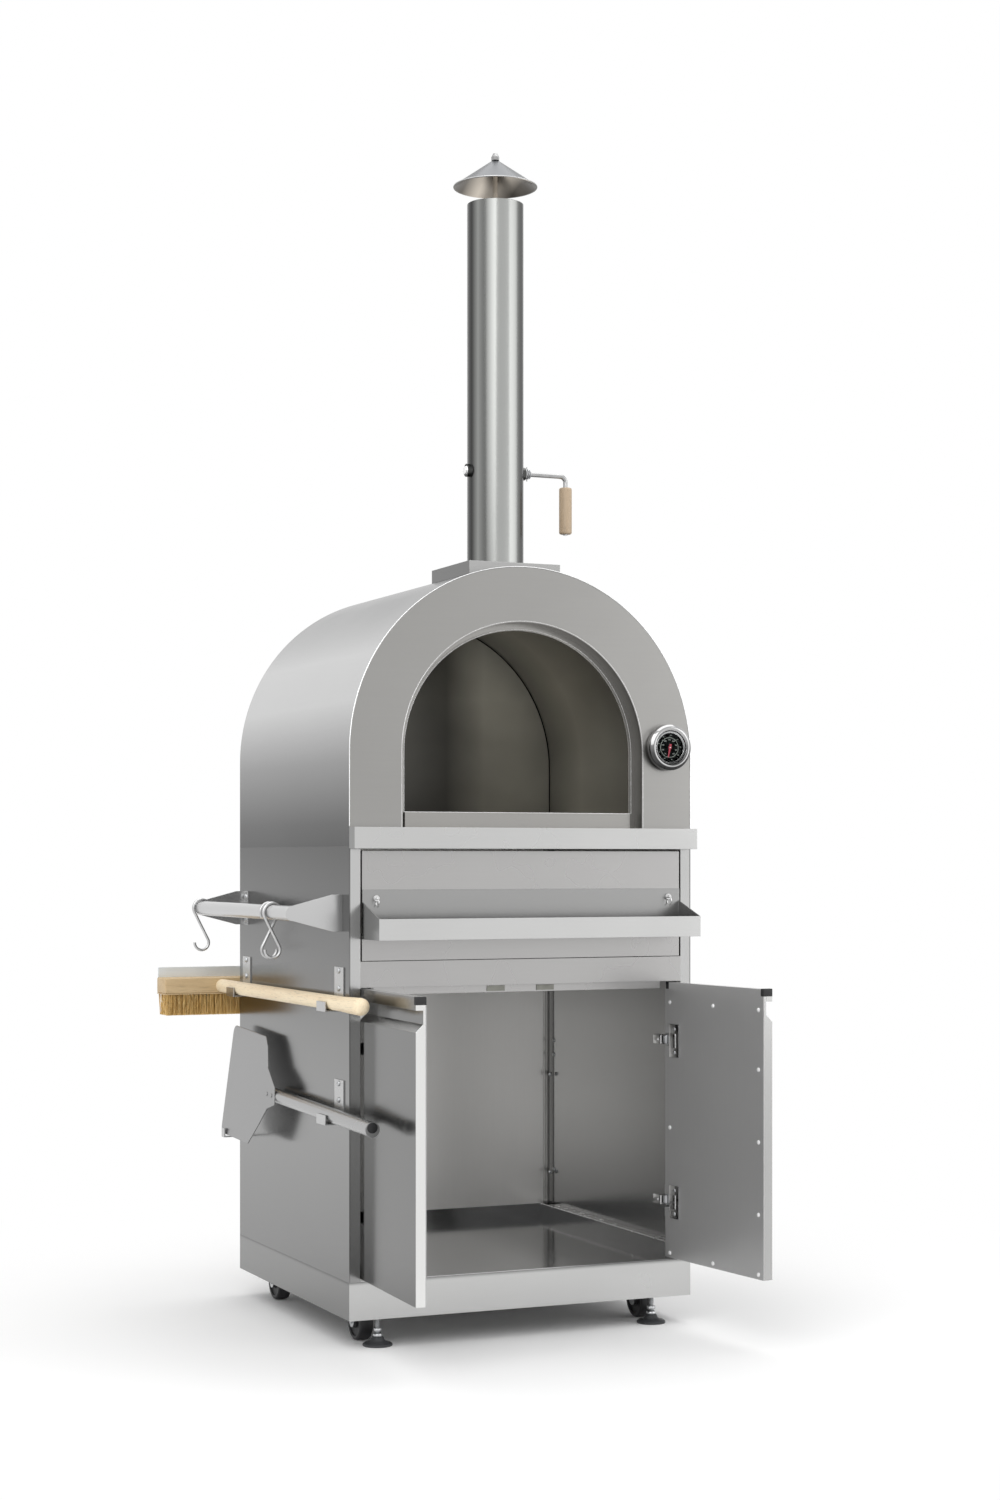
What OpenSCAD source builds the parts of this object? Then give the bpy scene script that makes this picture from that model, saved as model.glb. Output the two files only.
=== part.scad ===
// Outdoor pizza oven on a wheeled cabinet with two open doors, a front shelf and a tool rail.
// Front faces -Y, +Z is up and z = 0 is the ground under the wheels and feet.

/* [Cabinet] */
// Width of the cabinet and of the oven above it
cab_w = 620; // [580:5:680]
// Depth of the cabinet and of the oven shell
cab_d = 576; // [540:4:620]
// Thickness of the steel sheet
sheet = 1.5; // [1:0.1:1.8]
// Height of the plinth's lower edge above the ground
plinth_z = 48; // [44:1:54]
// Height of the plinth's skirt
plinth_h = 62; // [58:1:74]
// Height of the side panels above the plinth
side_h = 703; // [680:1:730]
// Width of the stile folded at each front edge
stile_w = 19; // [17:1:24]
// Depth of the stile's return into the cabinet
stile_d = 20; // [18:1:21]
// Width of the plinth's and the tray's inward flanges
flange_w = 22; // [16:1:30]
// Height of the floor tray's upstand
tray_lip = 22; // [12:1:30]
// Width of the rear corner posts across the cabinet
post_w = 12; // [10:1:16]
// Depth of the rear corner posts
post_d = 20; // [14:1:26]

/* [Front] */
// Height of the fascia panel
fascia_h = 178; // [165:1:190]
// Depth of the fascia panel's folded edges
fascia_d = 15; // [12:0.5:16]
// Gap round the fascia panel
fascia_gap = 3; // [1:0.5:4]
// Gap between the fascia panel and the oven's deck
fascia_drop = 7; // [5:1:10]
// Height of the rail above the doors
rail_h = 42; // [36:1:50]
// Height of the rail's tab behind the fascia panel
rail_tab = 22; // [14:1:30]
// Height of the catch strip that hangs behind the doors' top edge
strip_h = 13; // [10:1:16]
// Half length of the catch strip
strip_half = 262; // [200:1:262]
// Width of a magnet catch
catch_w = 32; // [24:1:40]
// Height of a magnet catch
catch_h = 9; // [7:0.5:10]
// Distance of each magnet catch from the middle
catch_x = 45; // [30:1:70]
// Height of the ledge's front
ledge_h = 34.5; // [28:0.5:36]
// How far the ledge stands proud of the front
ledge_proud = 25; // [18:1:35]
// Height of the ledge's top above the deck
ledge_rise = 31; // [28:1:34]

/* [Doors] */
// Thickness of a door
door_t = 17; // [16:0.5:20]
// Gap between a door and its stile
door_gap = 3.5; // [3.5:0.1:5]
// Gap between the two doors
door_mid_gap = 3; // [2:0.5:5]
// Gap above a door
door_top_gap = 2; // [1.5:0.5:4]
// Gap below a door, above the cabinet floor
door_low_gap = 2.5; // [2:0.5:4]
// Bend radius of a door's hinge edge
door_bend = 4; // [3:0.5:5]
// Opening of the left door in degrees, as it rests
left_open = 93; // [85:1:96]
// Opening of the right door in degrees, as it rests
right_open = 96; // [85:1:96]
// Depth of the finger recess
recess_d = 12; // [10:0.5:12]
// Height from the foot of the bevel to the door's top
recess_h = 53; // [48:1:70]
// Height of the handle channel
channel_h = 20; // [16:1:24]
// Length of the handle channel's inner lip
channel_lip = 5; // [3:0.5:7]
// Thickness of a channel's end cap
cap_t = 3; // [2:0.5:5]
// Diameter of a rivet's head on the inner face
rivet_d = 7; // [5:0.5:9]
// Height of a rivet's head
rivet_h = 1; // [0.6:0.1:1.2]

/* [Hinges] */
// Distance of the pivot from the door's hinge edge
pivot_in = 8; // [7.5:0.5:9]
// Distance of the pivot behind the door's outer face
pivot_back = 8; // [7.5:0.5:9]
// Diameter of a hinge pin
pin_d = 5; // [4:0.5:5.5]
// Wall of the arm's eye round the pin
eye_wall = 2; // [1.5:0.1:2]
// Thickness of a hinge arm
arm_t = 4; // [3:0.5:4.5]
// Height of a hinge arm
arm_h = 19; // [14:1:22]
// Length of the arm's foot along the side panel
arm_foot = 34; // [24:1:44]
// Height of a hinge cup on the door
cup_h = 54; // [44:1:60]
// Width of a hinge plate on the door's inner face
plate_w = 30; // [26:1:40]
// Height of the lower hinges above the door's lower edge
low_hinge = 96; // [70:1:130]
// Height of the upper hinges above the door's lower edge
high_hinge = 370; // [330:1:380]

/* [Oven] */
// Height of the arch's centre above the deck
spring_h = 155; // [140:1:180]
// Half width of the mouth
mouth_r = 219; // [190:1:230]
// Depth of the mouth's reveal
reveal_d = 27; // [20:1:34]
// Width of the seat frame round the mouth
seat_w = 12; // [8:1:16]
// Height of the sill bar in the mouth
sill_h = 26; // [24:1:30]
// Half width of the cavity
cavity_r = 270; // [255:1:280]
// Place of the cavity's back wall behind the middle
cavity_back = 199; // [180:1:230]
// Drop of the cavity's arch centre below the shell's
cavity_drop = 6; // [2:1:12]
// Height of the stones' top above the deck
hearth_h = 55; // [50:1:57]
// Thickness of the stones
stone_t = 28; // [20:1:34]
// Joint between two stones
stone_gap = 2; // [1:0.5:4]

/* [Chimney] */
// Distance of the chimney's axis in front of the middle
flue_y = 165; // [150:1:180]
// Outer diameter of the pipe
pipe_d = 96; // [80:1:110]
// Length of the pipe above its collar
pipe_h = 618; // [500:1:700]
// Width of the square collar
collar_w = 166; // [150:1:190]
// Height of the collar's top above the shell's crown
collar_h = 11; // [8:1:20]
// Diameter of the rain cap
cap_d = 143; // [130:1:170]
// Height of the rain cap's cone
cap_h = 46; // [35:1:60]
// Gap between the pipe and the rain cap's rim
cap_gap = 30; // [20:1:45]
// Diameter of the cap's stem
stem_d = 8; // [6:0.5:10]
// Upright thickness of the rain cap's sheet
rain_t = 1.8; // [1:0.1:3]
// Radius of the flat on top of the rain cap
cap_top_r = 5; // [4.5:0.5:6]
// Width across the flats of the cap's nut
nut_af = 13; // [11:0.5:16]
// Height of the cap's nut with its crown
nut_h = 12; // [8:0.5:14]

/* [Damper] */
// Height of the damper's axis above the collar
damper_h = 163; // [120:1:250]
// Diameter of the damper rod
rod_d = 8; // [6:0.5:10]
// Running gap round a rod or an axle
run_gap = 0.08; // [0.02:0.01:0.1]
// Length of a bearing boss on the pipe
boss_l = 6; // [4:0.5:10]
// Diameter of a bearing boss
boss_d = 22; // [18:1:26]
// Distance of the grip from the pipe's axis
grip_x = 132; // [110:1:160]
// Bend radius of the damper rod
rod_bend = 10; // [10:0.5:14]
// Diameter of the wooden grip
grip_d = 22; // [18:1:28]
// Length of the wooden grip
grip_l = 80; // [60:1:100]
// Distance from the rod's axis to the grip
grip_drop = 19; // [16:1:30]
// Gap between the disc and the pipe
disc_gap = 2.5; // [1.5:0.5:5]
// Thickness of the disc
disc_t = 2; // [1.5:0.5:3]

/* [Thermometer] */
// Distance of the thermometer's middle in from the shell's side
gauge_in = 46; // [43:1:50]
// Height of the thermometer above the arch's centre
gauge_rise = 14; // [0:1:30]
// Diameter of the thermometer's bezel
gauge_d = 78; // [66:1:80]
// How far the thermometer stands proud
gauge_t = 20; // [16:1:24]
// Diameter of the dial
dial_d = 60; // [50:1:62]
// Diameter of the thermometer's stem
probe_d = 6; // [4:0.5:8]
// Length of the stem behind the oven's face
probe_l = 60; // [45:1:80]
// Length of the needle's point
needle_l = 17; // [14:0.5:24]
// Direction of the needle's point in degrees, clockwise from up
needle_deg = 192; // [182:1:300]

/* [Shelf and rail] */
// Depth of the front shelf
shelf_d = 78; // [60:1:100]
// Height of the shelf's floor above the fascia panel's lower edge
shelf_rise = 35; // [20:1:60]
// Height of the shelf's front lip
shelf_lip = 34; // [24:1:45]
// Height of the shelf's sides at the wall
shelf_wing = 60; // [45:1:70]
// Height of the shelf's back flange
shelf_back = 80; // [75:1:90]
// Distance of a shelf stud in from the shelf's end
stud_in = 23; // [15:1:60]
// Diameter of the side rail's tube
tube_d = 25; // [20:1:28]
// Distance of the rail's axis from the side panel
rail_off = 85; // [82:1:100]
// Height of the rail's axis above the plinth
rail_z = 595; // [580:1:620]
// How far in from the cabinet's corners the rail's ends stand
rail_in = 30; // [23:1:43]
// Thickness of the flattened ends of the rail
rail_flat_t = 4; // [3:0.5:5]
// Height of a rail foot on the side panel
rail_foot_h = 60; // [50:1:70]
// Width of a rail foot
rail_foot_w = 24; // [18:1:28]
// Thickness of a rail foot
rail_foot_t = 2.5; // [2:0.5:4]

/* [Hooks] */
// Diameter of a hook's wire
wire_d = 5; // [4:0.5:6]
// Gap between a hook and the rail
hook_gap = 0.3; // [0.3:0.1:0.6]
// Distance between the centres of a hook's two bends
hook_l = 62; // [50:1:64]
// Centreline radius of a hook's lower bend
hook_low_r = 13; // [10:0.5:14]
// Places of the hooks along the rail
hook_in = [12, 395, 412];

/* [Tools] */
// Distance of both tool handles from the side panel
tool_off = 17.5; // [17.5:0.5:20]
// Thickness of a clip's strap
clip_t = 2; // [1.5:0.5:2.5]
// Width of a clip's strap
clip_w = 42; // [30:1:50]
// Distance of a clip's lip from the side panel
clip_off = 33; // [33:1:40]
// Height of a clip's lip
clip_lip = 16; // [12:1:18]
// Height of a clip's plate
clip_h = 71; // [64:1:80]
// Distance of the clips from the cabinet's middle
clip_y = 244; // [230:1:250]
// Gap between a resting tool and its clip
rest_gap = 0.3; // [0.2:0.1:0.5]
// Height of the brush clips above the plinth
brush_z = 436; // [425:1:460]
// Diameter of the brush's handle
brush_d = 24; // [20:1:24]
// Diameter of the brush handle's front end
brush_end_d = 28; // [24:1:28]
// Place of the brush handle's front end before the middle
brush_front = 402; // [380:1:440]
// Place of the brush's head behind the middle
head_y = 340; // [320:1:380]
// Depth of the brush's head
head_d = 55; // [44:1:64]
// Width of the brush's head
head_w = 216; // [180:2:240]
// Height of the brush's head block
head_h = 30; // [30:1:36]
// Length of the bristles
bristle_l = 38; // [28:1:46]
// Width of one bristle
bristle_t = 1.6; // [1.2:0.1:1.8]
// Bristles along the head
bristle_cols = 64; // [60:1:70]
// Rows of bristles
bristle_rows = 5; // [5:1:6]
// Height of the scraper above the block
scraper_h = 18.5; // [12:0.5:26]
// Height of the front peel clip above the plinth
peel_z = 253; // [245:1:265]
// Diameter of the peel's handle
peel_d = 24; // [20:1:24]
// Place of the peel handle's front end before the middle
peel_front = 440; // [400:1:470]
// Thickness of the peel's blade
blade_t = 1.5; // [1:0.1:2]
// Roll of the peel about its handle in degrees
peel_roll = 7; // [5:0.5:9]
// Slope of the peel's handle down to the front in degrees
peel_slope = 1.6; // [1:0.1:2]
// Width of the rear peel clip
nub_w = 16; // [12:1:24]

/* [Casters and feet] */
// Diameter of a caster's wheel
wheel_d = 63; // [58:1:66]
// Width of a caster's wheel
wheel_w = 25; // [20:1:27]
// Height of the deck that carries the casters
deck_z = 82; // [80:1:88]
// Distance of the casters in from the plinth's sides
caster_in = 52; // [50:1:60]
// Distance of the front swivels behind the plinth's front
swivel_in = 103; // [102:1:138]
// Distance of the rear casters' axles in from the plinth's back
rear_in = 73; // [58:1:98]
// Trail of a front caster
trail = 15; // [12:1:16]
// Diameter of a wheel's axle
axle_d = 8; // [6:0.5:9]
// Diameter of a swivel pin
swivel_d = 10; // [8:0.5:12]
// Thickness of a fork's sheet
fork_t = 2.5; // [2:0.5:3]
// Diameter of a foot's pad
pad_d = 49; // [40:1:50]
// Thickness of a foot's pad
pad_t = 9; // [6:0.5:12]
// Distance of the feet in from the plinth's sides
foot_in = 60; // [55:1:80]
// Distance of the feet behind the plinth's front
foot_back = 30; // [28:1:32]
// Diameter of a foot's threaded stem
foot_stem_d = 8; // [6:0.5:10]

/* [Hidden] */
$fn = 64;
// Overlap that lets two shapes of one solid join
eps = 0.01;

half_w = cab_w / 2;
half_d = cab_d / 2;
rail_half = half_d - rail_in;
hook_y = [for (d = hook_in) rail_half - d];
front = -half_d;
plinth_top = plinth_z + plinth_h;
side_top = plinth_top + side_h;
inner_x = half_w - stile_w;
fascia_top = side_top - fascia_drop;
fascia_z = fascia_top - fascia_h;
rail_top = fascia_z - 1;
rail_low = rail_top - rail_h;
fascia_x = inner_x - fascia_gap;
floor_top = plinth_top + sheet;

// Doors, as they are when closed
door_out = inner_x - door_gap;
door_in = door_mid_gap / 2;
door_low = floor_top + door_low_gap;
door_top = rail_low - door_top_gap;
door_back = front + door_t;
pivot_x = door_out - pivot_in;
pivot_y = front + pivot_back;
bevel_z = door_top - recess_h;
hinge_zs = [door_low + low_hinge, door_low + high_hinge];
notch = pin_d / 2 + eye_wall + 1.3;
notch_h = arm_h + 4;
arm_crank = 18;
rivet_low_gap = 8;
rivet_top_gap = 34;
rivet_low_z = door_low + rivet_low_gap;
rivet_top_z = door_top - rivet_top_gap;
rivet_mid_z = (rivet_low_z + rivet_top_z) / 2;
rivet_pitch = 117;
rivet_in = 14;
rivet_zs = [rivet_low_z, rivet_mid_z - rivet_pitch, rivet_mid_z, rivet_mid_z + rivet_pitch, rivet_top_z];

// Oven
spring_z = side_top + spring_h;
cavity_z = spring_z - cavity_drop;
ledge_top = side_top + ledge_rise;
seat_y = front + reveal_d;
hearth_z = side_top + hearth_h;
bed_z = hearth_z - stone_t - sheet;
fill_gap = 0.5;

// Chimney
crown_z = spring_z + half_w;
collar_top = crown_z + collar_h;
pipe_top = collar_top + pipe_h;
pipe_in = pipe_d / 2 - sheet;
pipe_low = cavity_z + cavity_r + 2 * sheet;
cap_z = pipe_top + cap_gap;
apex_z = cap_z + cap_h;
strap_z = pipe_top - 14;
// Highest place for a flat nut under the cap's cone
cap_slope = cap_h / (cap_d / 2 - cap_top_r);
under_nut_z = apex_z - rain_t - max(0, nut_af / 2 - cap_top_r) * cap_slope - rest_gap;
damper_z = collar_top + damper_h;
grip_top = damper_z - grip_drop;
rod_end = grip_top - grip_l - 2;

// Thermometer
gauge_x = half_w - gauge_in;
gauge_z = spring_z + gauge_rise;
gauge_front = front - gauge_t;
dial_y = front - gauge_t / 2;
glass_y = gauge_front + 3;
needle_y = (dial_y + glass_y) / 2;
glass_t = 2;
dial_t = 1;
needle_t = 0.8;
post_pin_d = 2.4;

// Shelf and rail
shelf_z = fascia_z + shelf_rise;
shelf_half = fascia_x;
stud_x = shelf_half - stud_in;
stud_z = shelf_z + shelf_back - 14;
rail_x = -half_w - rail_off;
rail_axis_z = plinth_top + rail_z;
tube_wall = 2;
hook_r = tube_d / 2 + hook_gap + wire_d / 2;

// Tools
tool_x = -half_w - tool_off;
brush_low = plinth_top + brush_z;
brush_axis_z = brush_low + clip_t + rest_gap + brush_d / 2;
block_z = brush_axis_z - head_h / 2;
slice_t = 2;
bristle_in = 3;
peel_low = plinth_top + peel_z;
// The sloping handle is nearest its clip at the strap's front edge
peel_axis_z = peel_low + clip_t + rest_gap + peel_d / 2 + (clip_y + clip_w / 2) * tan(peel_slope);
blade_w = 265;
blade_low = -95;
nub_drop = 2;
screw_h = 2;
screw_d = 9;

// Casters
wheel_r = wheel_d / 2;
caster_x = half_w - caster_in;
front_caster = half_d - swivel_in;
rear_caster = half_d - rear_in;
foot_x = half_w - foot_in;
foot_y = half_d - foot_back;
plate_t = 3;
plate_s = 60;
fork_in = wheel_w / 2 + 1;
fork_out = fork_in + fork_t;
fork_top = deck_z - plate_t - 1;
race_t = 5;
foot_room = 15;
foot_stem_top = plinth_top - foot_room;
nut8 = 13;

// The shift that puts the origin under the middle of the whole object's box
reach = door_out - door_in - pivot_in;
box_left = tool_x - head_w / 2;
box_right = max(half_w, pivot_x + reach * -cos(right_open) + pivot_back * sin(right_open));
box_front = pivot_y - reach * sin(left_open);
box_back = head_y + head_d;
frame_x = -(box_left + box_right) / 2;
frame_y = -(box_front + box_back) / 2;

module placed() {
    translate([frame_x, frame_y, 0]) children();
}

module slab(a, b) {
    translate(a) cube(b - a);
}

// Extrudes an outline drawn in x and z from y0 to y1
module along_y(y0, y1) {
    translate([0, y1, 0]) rotate([90, 0, 0]) linear_extrude(y1 - y0) children();
}

// Extrudes an outline drawn in y and z from x0 to x1
module along_x(x0, x1) {
    translate([x0, 0, 0]) rotate([90, 0, 90]) linear_extrude(x1 - x0) children();
}

module both_sides() {
    children();
    mirror([1, 0, 0]) children();
}

// Outline of an arch on straight legs, in x and z
module arch(r, centre_z, low_z) {
    intersection() {
        union() {
            translate([0, centre_z]) circle(r, $fn = 128);
            translate([-r, low_z]) square([2 * r, centre_z - low_z]);
        }
        translate([-r, low_z]) square([2 * r, centre_z - low_z + r]);
    }
}

// A round bar between two points that share their y and z, x and z, or x and y
module bar_x(x0, x1, y, z, d) {
    translate([x0, y, z]) rotate([0, 90, 0]) cylinder(h = x1 - x0, d = d);
}

module bar_y(x, y0, y1, z, d) {
    translate([x, y1, z]) rotate([90, 0, 0]) cylinder(h = y1 - y0, d = d);
}

module bar_z(x, y, z0, z1, d) {
    translate([x, y, z0]) cylinder(h = z1 - z0, d = d);
}

// A round bar bent in its own x-y plane, from angle a0 over the angle span
module bend(r, d, a0, span) {
    rotate([0, 0, a0]) rotate_extrude(angle = span) translate([r, 0]) circle(d = d, $fn = 32);
}

// Cabinet

module plinth() {
    color("gainsboro") placed() {
        difference() {
            slab([-half_w, front, plinth_z], [half_w, half_d, plinth_top]);
            slab([-half_w + sheet, front + sheet, plinth_z - 1],
                [half_w - sheet, half_d - sheet, deck_z]);
            slab([-half_w + sheet, front + sheet, deck_z + sheet],
                [half_w - sheet, half_d - sheet, plinth_top - sheet]);
            slab([-half_w + flange_w, front + flange_w, plinth_top - 2 * sheet],
                [half_w - flange_w, half_d - flange_w, plinth_top + 1]);
            both_sides() bar_z(foot_x, -foot_y, deck_z - 1, deck_z + sheet + 1, foot_stem_d + 1);
        }
    }
}

module floor_panel() {
    tray_x = inner_x - 0.5;
    tray_back = half_d - 2 * sheet;
    lip_y = front + stile_d + 4;
    color("silver") placed() difference() {
        slab([-tray_x, front + sheet, plinth_top], [tray_x, tray_back, floor_top + tray_lip]);
        slab([-tray_x + sheet, front, floor_top],
            [tray_x - sheet, tray_back - sheet, floor_top + tray_lip + 1]);
        slab([-tray_x - 1, front, floor_top], [tray_x + 1, lip_y, floor_top + tray_lip + 1]);
    }
}

// Right-hand side panel: skin, front stile with its return, and rear flange
module side_panel() {
    slab([half_w - sheet, front, plinth_top], [half_w, half_d, side_top]);
    slab([inner_x, front, plinth_top], [half_w - eps, front + sheet, side_top]);
    slab([inner_x, front + eps, plinth_top], [inner_x + sheet, front + stile_d, side_top - sheet]);
    slab([inner_x, half_d - sheet, plinth_top], [half_w - eps, half_d, side_top]);
}

module left_side_panel() {
    color("silver") placed() mirror([1, 0, 0]) side_panel();
}

module right_side_panel() {
    color("silver") placed() side_panel();
}

module back_panel() {
    color("silver") placed() slab([-half_w + sheet, half_d - 2 * sheet, plinth_top],
        [half_w - sheet, half_d - sheet, side_top - sheet]);
}

module corner_posts() {
    post_x = half_w - sheet;
    post_y = half_d - 2 * sheet;
    color("silver") placed() both_sides() difference() {
        slab([post_x - post_w, post_y - post_d, plinth_top], [post_x, post_y, side_top - sheet]);
        slab([post_x - post_w - 1, post_y - post_d - 1, plinth_top - 1],
            [post_x - sheet, post_y - sheet, side_top + 1]);
    }
}

module fascia_panel() {
    color("silver") placed() difference() {
        slab([-fascia_x, front, fascia_z], [fascia_x, front + fascia_d, fascia_top]);
        slab([-fascia_x + sheet, front + sheet, fascia_z + sheet],
            [fascia_x - sheet, front + fascia_d + 1, fascia_top - sheet]);
    }
}

module door_rail() {
    leg_y = door_back + 1.5;
    tab_y = front + fascia_d;
    color("silver") placed() {
        slab([-inner_x, front, rail_low], [inner_x, front + sheet, rail_top]);
        slab([-inner_x, front, rail_top - sheet], [inner_x, tab_y + sheet, rail_top]);
        slab([-inner_x, tab_y, rail_top - sheet], [inner_x, tab_y + sheet, rail_top + rail_tab]);
        slab([-inner_x, front, rail_low], [inner_x, leg_y + sheet, rail_low + sheet]);
        slab([-strip_half, leg_y, rail_low - strip_h], [strip_half, leg_y + sheet, rail_low + sheet]);
    }
}

module magnet_catches() {
    catch_y = door_back + 0.3;
    color("dimgray") placed() both_sides()
        slab([catch_x - catch_w / 2, catch_y, rail_low - 2 - catch_h],
            [catch_x + catch_w / 2, door_back + 1.5, rail_low - 2]);
}

module front_ledge() {
    color("gainsboro") placed() difference() {
        slab([-half_w, front - ledge_proud, ledge_top - ledge_h], [half_w, front, ledge_top]);
        slab([-half_w + sheet, front - ledge_proud + sheet, ledge_top - ledge_h - 1],
            [half_w - sheet, front + 1, ledge_top - sheet]);
    }
}

// Oven

module top_deck() {
    color("silver") placed() slab([-half_w + sheet, front + sheet, side_top - sheet],
        [half_w - sheet, half_d - sheet, side_top]);
}

module oven_shell() {
    color("silver") placed() difference() {
        along_y(front, half_d) arch(half_w, spring_z, side_top);
        along_y(front - 1, half_d + 1) arch(half_w - sheet, spring_z, side_top - 1);
        bar_z(0, -flue_y, spring_z, crown_z + 1, pipe_d + 2);
    }
}

module oven_face() {
    color("silver") placed() difference() {
        union() {
            along_y(front, front + sheet) arch(half_w - sheet, spring_z, side_top);
            along_y(front + eps, seat_y) arch(mouth_r, spring_z, ledge_top);
        }
        along_y(front - 1, seat_y + 1) arch(mouth_r - sheet, spring_z, ledge_top);
        bar_y(gauge_x, front - 1, front + sheet + 1, gauge_z, probe_d + 1);
    }
}

module oven_back() {
    color("silver") placed() along_y(half_d - sheet, half_d) arch(half_w - sheet, spring_z, side_top);
}

module oven_liner() {
    liner_y = seat_y + sheet;
    color("dimgray") placed() difference() {
        along_y(liner_y, cavity_back + sheet) arch(cavity_r + sheet, cavity_z, bed_z);
        along_y(liner_y + sheet, cavity_back)
            arch(cavity_r, cavity_z, bed_z + sheet);
        along_y(liner_y - 1, liner_y + sheet + 1) arch(mouth_r - sheet - seat_w, spring_z, hearth_z);
        bar_z(0, -flue_y, cavity_z, crown_z, 2 * pipe_in);
        bar_y(gauge_x, liner_y - 1, liner_y + sheet + 1, gauge_z, probe_d + 1);
    }
}

module door_seat_frame() {
    seat_r = mouth_r - sheet;
    color("gainsboro") placed() {
        difference() {
            along_y(seat_y, seat_y + sheet) arch(mouth_r, spring_z, ledge_top);
            along_y(seat_y - 1, seat_y + sheet + 1) arch(seat_r - seat_w, spring_z, ledge_top + sill_h);
        }
        slab([-seat_r + seat_w, seat_y - 6, ledge_top + sill_h - sheet],
            [seat_r - seat_w, seat_y + sheet, ledge_top + sill_h]);
        slab([-seat_r + seat_w, seat_y - 6, ledge_top],
            [seat_r - seat_w, seat_y - 6 + sheet, ledge_top + sill_h]);
    }
}

module insulation() {
    fill_r = half_w - sheet - fill_gap;
    liner_y = seat_y + sheet;
    color("beige") placed() difference() {
        along_y(front + sheet, half_d - sheet) arch(fill_r, spring_z, side_top);
        along_y(liner_y, cavity_back + sheet) arch(cavity_r + sheet + fill_gap, cavity_z, bed_z);
        along_y(front, liner_y + 1) arch(mouth_r + fill_gap, spring_z, ledge_top);
        bar_z(0, -flue_y, cavity_z, crown_z, pipe_d + 1);
        bar_y(gauge_x, front, liner_y + 1, gauge_z, probe_d + 1);
    }
}

module floor_stones() {
    stone_x = cavity_r - 1;
    y0 = seat_y + 3 * sheet;
    long = cavity_back - 1 - y0;
    color("tan") placed() both_sides() for (row = [0, 1])
        slab([stone_gap / 2, y0 + row * (long + stone_gap) / 2, bed_z + sheet],
            [stone_x, y0 + row * (long + stone_gap) / 2 + (long - stone_gap) / 2, hearth_z]);
}

// Chimney

module chimney_collar() {
    side = collar_w / 2;
    color("silver") placed() difference() {
        slab([-side, -flue_y - side, spring_z + half_w / 2], [side, -flue_y + side, collar_top]);
        slab([-side + sheet, -flue_y - side + sheet, spring_z], [side - sheet, -flue_y + side - sheet,
            collar_top - sheet]);
        bar_y(0, front, half_d, spring_z, cab_w, $fn = 128);
        bar_z(0, -flue_y, spring_z, collar_top + 1, pipe_d + 0.4);
    }
}

module chimney_pipe() {
    color("lightgray") placed() difference() {
        union() {
            bar_z(0, -flue_y, pipe_low, pipe_top, pipe_d);
            both_sides() bar_x(pipe_d / 2 - 4, pipe_d / 2 + boss_l, -flue_y, damper_z, boss_d);
        }
        bar_z(0, -flue_y, pipe_low - 1, pipe_top + 1, 2 * pipe_in);
        bar_x(-pipe_d, pipe_d, -flue_y, damper_z, rod_d + 2 * run_gap);
    }
}

module cap_bracket() {
    strap_w = 20;
    strap_t = 2;
    flat_nut_h = 8;
    color("silver") placed() {
        intersection() {
            slab([-pipe_in, -flue_y - strap_w / 2, strap_z],
                [pipe_in, -flue_y + strap_w / 2, strap_z + strap_t]);
            bar_z(0, -flue_y, strap_z - 1, strap_z + strap_t + 1, 2 * pipe_in);
        }
        bar_z(0, -flue_y, strap_z, apex_z + nut_h / 2, stem_d);
        bar_z(0, -flue_y, under_nut_z - flat_nut_h, under_nut_z, nut_af);
    }
}

module rain_cap() {
    rim = cap_d / 2;
    color("silver") placed() translate([0, -flue_y, 0]) difference() {
        translate([0, 0, cap_z]) cylinder(h = cap_h, r1 = rim, r2 = cap_top_r, $fn = 96);
        translate([0, 0, cap_z - rain_t]) cylinder(h = cap_h, r1 = rim, r2 = cap_top_r, $fn = 96);
        bar_z(0, 0, cap_z, apex_z + 1, stem_d + 0.4);
    }
}

module cap_nut() {
    color("silver") placed() difference() {
        translate([0, -flue_y, apex_z]) union() {
            cylinder(h = nut_h / 2, d = nut_af / cos(30), $fn = 6);
            translate([0, 0, nut_h / 2 - eps]) cylinder(h = nut_h / 2, d1 = nut_af, d2 = nut_af * 0.6);
        }
        bar_z(0, -flue_y, apex_z - 1, apex_z + nut_h / 2, stem_d);
    }
}

module damper_rod() {
    disc_r = pipe_in - disc_gap;
    washer_x = pipe_d / 2 + boss_l;
    color("silver") placed() translate([0, -flue_y, damper_z]) {
        bar_x(-pipe_d / 2 - boss_l - 3, grip_x - rod_bend, 0, 0, rod_d);
        translate([grip_x - rod_bend, 0, -rod_bend]) rotate([90, 0, 0]) bend(rod_bend, rod_d, 0, 90);
        bar_z(grip_x, 0, rod_end - damper_z, -rod_bend, rod_d);
        bar_y(0, -disc_t / 2, disc_t / 2, 0, 2 * disc_r);
        bar_x(washer_x + 0.4, washer_x + 2.4, 0, 0, 18);
        bar_x(-washer_x - 2.4, -washer_x - 0.4, 0, 0, 14);
        bar_z(washer_x + 5, 0, -12, 12, 2);
    }
}

module damper_grip() {
    round_r = 3;
    color("burlywood") placed() translate([grip_x, -flue_y, grip_top - grip_l]) difference() {
        rotate_extrude() intersection() {
            offset(r = round_r, $fn = 24) offset(delta = -round_r)
                translate([-grip_d / 2, 0]) square([grip_d, grip_l]);
            square([grip_d, grip_l]);
        }
        bar_z(0, 0, -1, grip_l + 1, rod_d + 0.1);
    }
}

// Thermometer

module thermometer_case() {
    color("silver") placed() difference() {
        union() {
            bar_y(gauge_x, gauge_front, front, gauge_z, gauge_d);
            bar_y(gauge_x, front - 1, front + probe_l, gauge_z, probe_d);
        }
        bar_y(gauge_x, gauge_front - 1, dial_y, gauge_z, dial_d);
    }
}

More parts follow.
